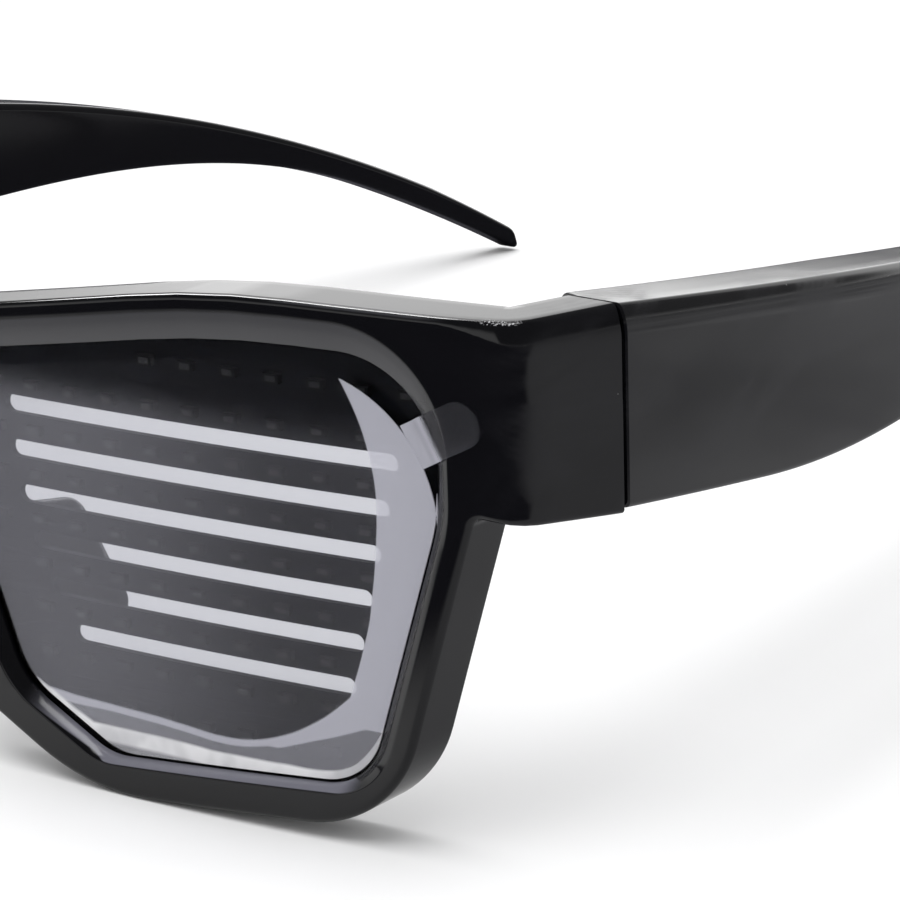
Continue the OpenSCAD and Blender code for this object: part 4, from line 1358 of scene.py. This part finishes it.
class GLASSES_OT_lenses(bpy.types.Operator):
    """Make the tinted lenses"""

    bl_idname = "glasses.lenses"
    bl_label = "Lenses"

    def execute(self, context):
        glasses = Glasses(context.scene)
        build = plate(glasses, glasses.lens, [], glasses.lens_depth, glasses.lens_t, 0.1, 1.6)
        for piece, side in both(build, "tinted_lens"):
            dressed(smoothed(piece), "front", f"lens_{side}", lens_finish())
        return {"FINISHED"}


class GLASSES_OT_films(bpy.types.Operator):
    """Make the clear films with their pull tabs"""

    bl_idname = "glasses.films"
    bl_label = "Protective films"

    def execute(self, context):
        glasses = Glasses(context.scene)
        for piece, side in both(make_film(glasses), "film_sheet"):
            dressed(smoothed(piece), "front", f"film_{side}", film_finish())
        return {"FINISHED"}


class GLASSES_OT_lights(bpy.types.Operator):
    """Make the slotted light boards and their chip lights"""

    bl_idname = "glasses.lights"
    bl_label = "Light boards"

    def execute(self, context):
        scene = context.scene
        glasses = Glasses(scene)
        for piece, side in both(make_board(glasses), "light_board"):
            dressed(smoothed(piece), "front", f"led_board_{side}", board_finish())
        case = plain_finish(
            "light_case", (0.006, 0.006, 0.007), (0.009, 0.009, 0.01), (0.5, 0.6), 900.0, 0.00001,
            Specular_IOR_Level=0.1,
        )
        window = plain_finish(
            "light_window", (0.055, 0.055, 0.055), (0.08, 0.08, 0.078), (0.4, 0.5), 1500.0, 0.00001,
            Specular_IOR_Level=0.1,
        )
        tree, size, share = light_tree(case, window)
        length, width, height = scene.glasses_lights.light_size
        rows = light_places(glasses)
        for sign, side in ((1, "right"), (-1, "left")):
            mesh = bpy.data.meshes.new(f"chip_lights_{side}")
            shift = glasses.reach / 2
            places = [(sign * x * MM, (y - shift) * MM - height / 2, z * MM) for x, y, z, _ in rows]
            mesh.from_pydata(places, [], [])
            turn = mesh.attributes.new("turn", "FLOAT_VECTOR", "POINT")
            turn.data.foreach_set("vector", [v for row in rows for v in (0, 0, sign * row[3])])
            piece = placed(f"chip_lights_{side}", mesh)
            modifier = piece.modifiers.new("lights", "NODES")
            modifier.node_group = tree
            modifier[size] = (length, height, width)
            modifier[share] = 0.62
            dressed(applied(piece), "front", f"leds_{side}")
        return {"FINISHED"}


class GLASSES_OT_pads(bpy.types.Operator):
    """Make the nose pads"""

    bl_idname = "glasses.pads"
    bl_label = "Nose pads"

    def execute(self, context):
        glasses = Glasses(context.scene)
        right = make_pad(glasses)
        left = mirror_piece(right, "nose_pad_moulding_left")
        for piece, side in ((right, "right"), (left, "left")):
            dressed(piece, "front", f"nose_pad_{side}", moulding_finish())
        return {"FINISHED"}


class GLASSES_OT_temples(bpy.types.Operator):
    """Make the two temples"""

    bl_idname = "glasses.temples"
    bl_label = "Temples"

    def execute(self, context):
        glasses = Glasses(context.scene)
        for side, port in (("right", True), ("left", False)):
            piece = make_temple(glasses, port)
            dressed(piece, f"temple_{side}", f"temple_shell_{side}", moulding_finish())
        return {"FINISHED"}


class GLASSES_OT_fittings(bpy.types.Operator):
    """Finish the hinges, screws, covers and electronics"""

    bl_idname = "glasses.fittings"
    bl_label = "Fittings"

    def execute(self, context):
        steel = brushed_finish("plated_leaf", (0.58, 0.575, 0.56), 0.32, (1, 1, 0.08))
        screw = brushed_finish("plated_screw", (0.5, 0.5, 0.49), 0.28, (0.3, 0.3, 0.3))
        flex = plain_finish(
            "amber_ribbon", (0.3, 0.13, 0.03), (0.42, 0.2, 0.05), (0.3, 0.4), 700.0, 0.00001
        )
        foil = plain_finish(
            "crimped_foil", (0.6, 0.61, 0.63), (0.75, 0.76, 0.78), (0.3, 0.45), 260.0, 0.0001,
            Metallic=1.0,
        )
        green = plain_finish(
            "green_solder_mask", (0.012, 0.06, 0.03), (0.02, 0.09, 0.045), (0.3, 0.4), 1200.0, 0.00001
        )
        chip = plain_finish(
            "moulded_chip", (0.012, 0.012, 0.013), (0.02, 0.02, 0.021), (0.5, 0.6), 2500.0, 0.00001
        )
        cap = plain_finish(
            "button_cap", (0.008, 0.008, 0.009), (0.014, 0.014, 0.015), (0.2, 0.3), 800.0, 0.000008
        )
        finishes = {
            "frame_leaf": steel, "temple_leaf": steel, "hinge_pin": steel, "charging_port": steel,
            "cover_screws": screw, "frame_leaf_screw": screw, "temple_leaf_screw": screw,
            "lid_screws": screw, "bridge_flex": flex, "end_flex": flex, "temple_flex": flex,
            "battery": foil,
            "control_board": green, "control_chips": chip, "tact_switch": chip, "mode_button": cap,
            "temple_lid": cover_finish(),
        }
        for name, node in NODES.items():
            if node.hide_render:
                continue
            key = name.removesuffix("_right").removesuffix("_left")
            node.data.materials.clear()
            node.data.materials.append(finishes[key])
        return {"FINISHED"}


class GLASSES_OT_stage(bpy.types.Operator):
    """Set up the floor, lamps, world and camera"""

    bl_idname = "glasses.stage"
    bl_label = "Stage"

    def execute(self, context):
        scene, stage = context.scene, context.scene.glasses_stage
        scene.view_settings.view_transform = "Standard"
        make_floor(stage.floor)
        make_world(scene)
        # Painted light and shade on a sheet that only the reflections see
        make_painted_shading_sheet()
        overhead = lamp("overhead", (0.05, -0.2, 0.95), (0.0, -0.05, 0.0), (0.9, 0.9), 8.0)
        overhead.visible_glossy = False
        lamp("behind", (-0.62, 0.78, 0.44), (0.04, 0.0, 0.03), (1.3, 0.6), 0.8)
        make_camera(scene, stage)
        return {"FINISHED"}


def make_floor(colour):
    """A pale floor that keeps the object's shadow."""
    mesh = bpy.data.meshes.new("floor")
    bm = bmesh.new()
    bmesh.ops.create_grid(bm, x_segments=1, y_segments=1, size=4)
    bm.to_mesh(mesh)
    bm.free()
    floor = placed("floor", mesh)
    floor.location.z = -0.00002
    floor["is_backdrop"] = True

    def build(shader):
        return {"Roughness": shader.ramp(shader.noise(3.0), 0.0, 1.0, 0.75, 0.8)}

    mesh.materials.append(material("pale_floor", build, Base_Color=colour, Specular_IOR_Level=0.1))


def make_painted_shading_sheet():
    """A sheet on the floor that only gloss sees, with painted light and shade for the reflections on the
    glasses.

    It is pale under the front, dark before and behind it, and grey at the right.
    """
    mesh = bpy.data.meshes.new("painted_reflection_sheet")
    corners = [(-1.6, -1.6), (1.6, -1.6), (1.6, 1.6), (-1.6, 1.6)]
    mesh.from_pydata([(x, y, 0.0003) for x, y in corners], [], [(0, 1, 2, 3)])
    card = placed("painted_reflection_sheet", mesh)
    card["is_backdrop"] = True
    for ray in ("camera", "diffuse", "transmission", "volume_scatter", "shadow"):
        setattr(card, f"visible_{ray}", False)

    def build(shader):
        ramp, mix = shader.ramp, shader.mix
        x, y, _ = shader.axes()
        cloud = ramp(shader.noise(14.0, 3.0), 0.35, 0.65)
        grey = mix(cloud, (0.3, 0.3, 0.31, 1), (0.52, 0.52, 0.53, 1))
        grey = mix(ramp(y, -0.02, 0.04), (0.46, 0.46, 0.47, 1), grey)
        under = mix(ramp(y, -0.075, -0.06), (0.8, 0.8, 0.8, 1), (0.07, 0.07, 0.08, 1))
        behind = mix(ramp(x, 0.05, 0.07), under, grey)
        return {"Base Color": mix(ramp(y, -0.14, -0.105), (0.05, 0.05, 0.06, 1), behind)}

    mesh.materials.append(material("painted_reflection_tones", build, Roughness=0.9, Specular_IOR_Level=0.0))


def make_world(scene):
    """A white backdrop for the camera, gloss and glass, and plain even light."""
    world = bpy.data.worlds.new("studio")
    scene.world = world
    world.use_nodes = True
    world.node_tree.nodes.clear()
    shader = Shader(world.node_tree)
    ramp = shader.ramp
    rays = shader.node("ShaderNodeLightPath").outputs
    glossy = rays["Is Glossy Ray"]
    seen = shader.most(shader.most(rays["Is Camera Ray"], rays["Is Transmission Ray"]), glossy)
    x, y, z = shader.axes(shader.node("ShaderNodeTexCoord").outputs["Generated"])
    right = ramp(x, 0.0, 0.35)
    low, high = ramp(right, 0.0, 1.0, 0.18, -0.1), ramp(right, 0.0, 1.0, 0.5, 0.05)
    behind = ramp(y, 0.2, 0.5) * ramp(x, -0.76, -0.66, 0.1, 1.0)
    wall = ramp(z, low, high, 1.0, 0.1) * ramp(behind, 0.0, 1.0, 1.0, 1.8)

    # Three bright areas high up, for gloss: at the left, behind at the left, and straight above
    areas = ((25.0, -0.05, 0.2, -0.4, 0.6), (3.4, 0.24, 0.62, -0.3, 0.55), (4.5, -1.0, 1.0, 1.0, 0.95))
    for power, y0, y1, x1, z0 in areas:
        lit = ramp(y, y0, y0 + 0.04) * ramp(y, y1, y1 - 0.04) * ramp(x, x1, x1 - 0.05)
        wall = wall + lit * ramp(z, z0, z0 + 0.03) * power
    strength = ramp(seen, 0.0, 1.0, 0.66, 0.97) * (1.0 - (1.0 - wall) * glossy)
    light = shader.node("ShaderNodeBackground", in_Color=(1, 1, 1, 1), in_Strength=strength)
    shader.node("ShaderNodeOutputWorld", in_0=light.outputs[0])


def lamp(name, place, target, size, power):
    """A soft area lamp that the camera doesn't see."""
    data = bpy.data.lights.new(name, "AREA")
    data.shape = "RECTANGLE"
    data.size, data.size_y = size
    data.energy = power
    light = placed(name, data)
    light.location = place
    aim = Vector(target) - Vector(place)
    light.rotation_euler = aim.to_track_quat("-Z", "Y").to_euler()
    light.visible_camera = False
    return light


def make_camera(scene, stage):
    """The camera that the photograph was taken with."""
    a, e, roll = stage.camera_turn, stage.camera_pitch, stage.camera_roll
    view = Vector((-math.sin(a) * math.cos(e), math.cos(a) * math.cos(e), -math.sin(e)))
    right = Vector((math.cos(a), math.sin(a), 0))
    up = right.cross(view)
    c, s = math.cos(roll), math.sin(roll)
    right, up = c * right - s * up, s * right + c * up
    data = bpy.data.cameras.new("camera")
    data.lens, data.sensor_width = stage.focal_length, 36
    data.clip_start = 0.01
    camera = placed("camera", data)
    turn = Matrix((right, up, -view)).transposed()
    camera.matrix_world = Matrix.Translation(stage.camera_place) @ turn.to_4x4()
    scene.camera = camera


# Panel and main


class GLASSES_PT_panel(bpy.types.Panel):
    """Lists the steps that make the glasses"""

    bl_idname = "GLASSES_PT_panel"
    bl_label = "LED glasses"
    bl_space_type = "VIEW_3D"
    bl_region_type = "UI"
    bl_category = "LED glasses"

    def draw(self, context):
        for step in STEPS:
            self.layout.operator(step.bl_idname)
        for group in GROUPS:
            for name in getattr(context.scene, group).bl_rna.properties.keys():
                if name not in ("rna_type", "name"):
                    self.layout.prop(getattr(context.scene, group), name)


STEPS = (
    GLASSES_OT_front, GLASSES_OT_lenses, GLASSES_OT_films, GLASSES_OT_lights,
    GLASSES_OT_pads, GLASSES_OT_temples, GLASSES_OT_fittings, GLASSES_OT_stage,
)
GROUPS = {
    "glasses_front": FrontSettings, "glasses_window": WindowSettings, "glasses_lights": LightSettings,
    "glasses_temple": TempleSettings, "glasses_finish": FinishSettings, "glasses_stage": StageSettings,
}


def register():
    """Registers the settings, steps and panel."""
    for cls in (*GROUPS.values(), *STEPS, GLASSES_PT_panel):
        bpy.utils.register_class(cls)
    for name, cls in GROUPS.items():
        setattr(bpy.types.Scene, name, bpy.props.PointerProperty(type=cls))


def unregister():
    """Removes what register made."""
    for name in GROUPS:
        delattr(bpy.types.Scene, name)
    for cls in reversed((*GROUPS.values(), *STEPS, GLASSES_PT_panel)):
        bpy.utils.unregister_class(cls)


def main():
    """Makes the glasses step by step."""
    register()
    bpy.ops.glasses.front()
    bpy.ops.glasses.lenses()
    bpy.ops.glasses.films()
    bpy.ops.glasses.lights()
    bpy.ops.glasses.pads()
    bpy.ops.glasses.temples()
    bpy.ops.glasses.fittings()
    bpy.ops.glasses.stage()
    boxes = {"cad": CAD_BOX, "visual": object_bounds()}
    {name: [list(map(float, corner)) for corner in box] for name, box in boxes.items()}


if __name__ == "__main__":
    main()
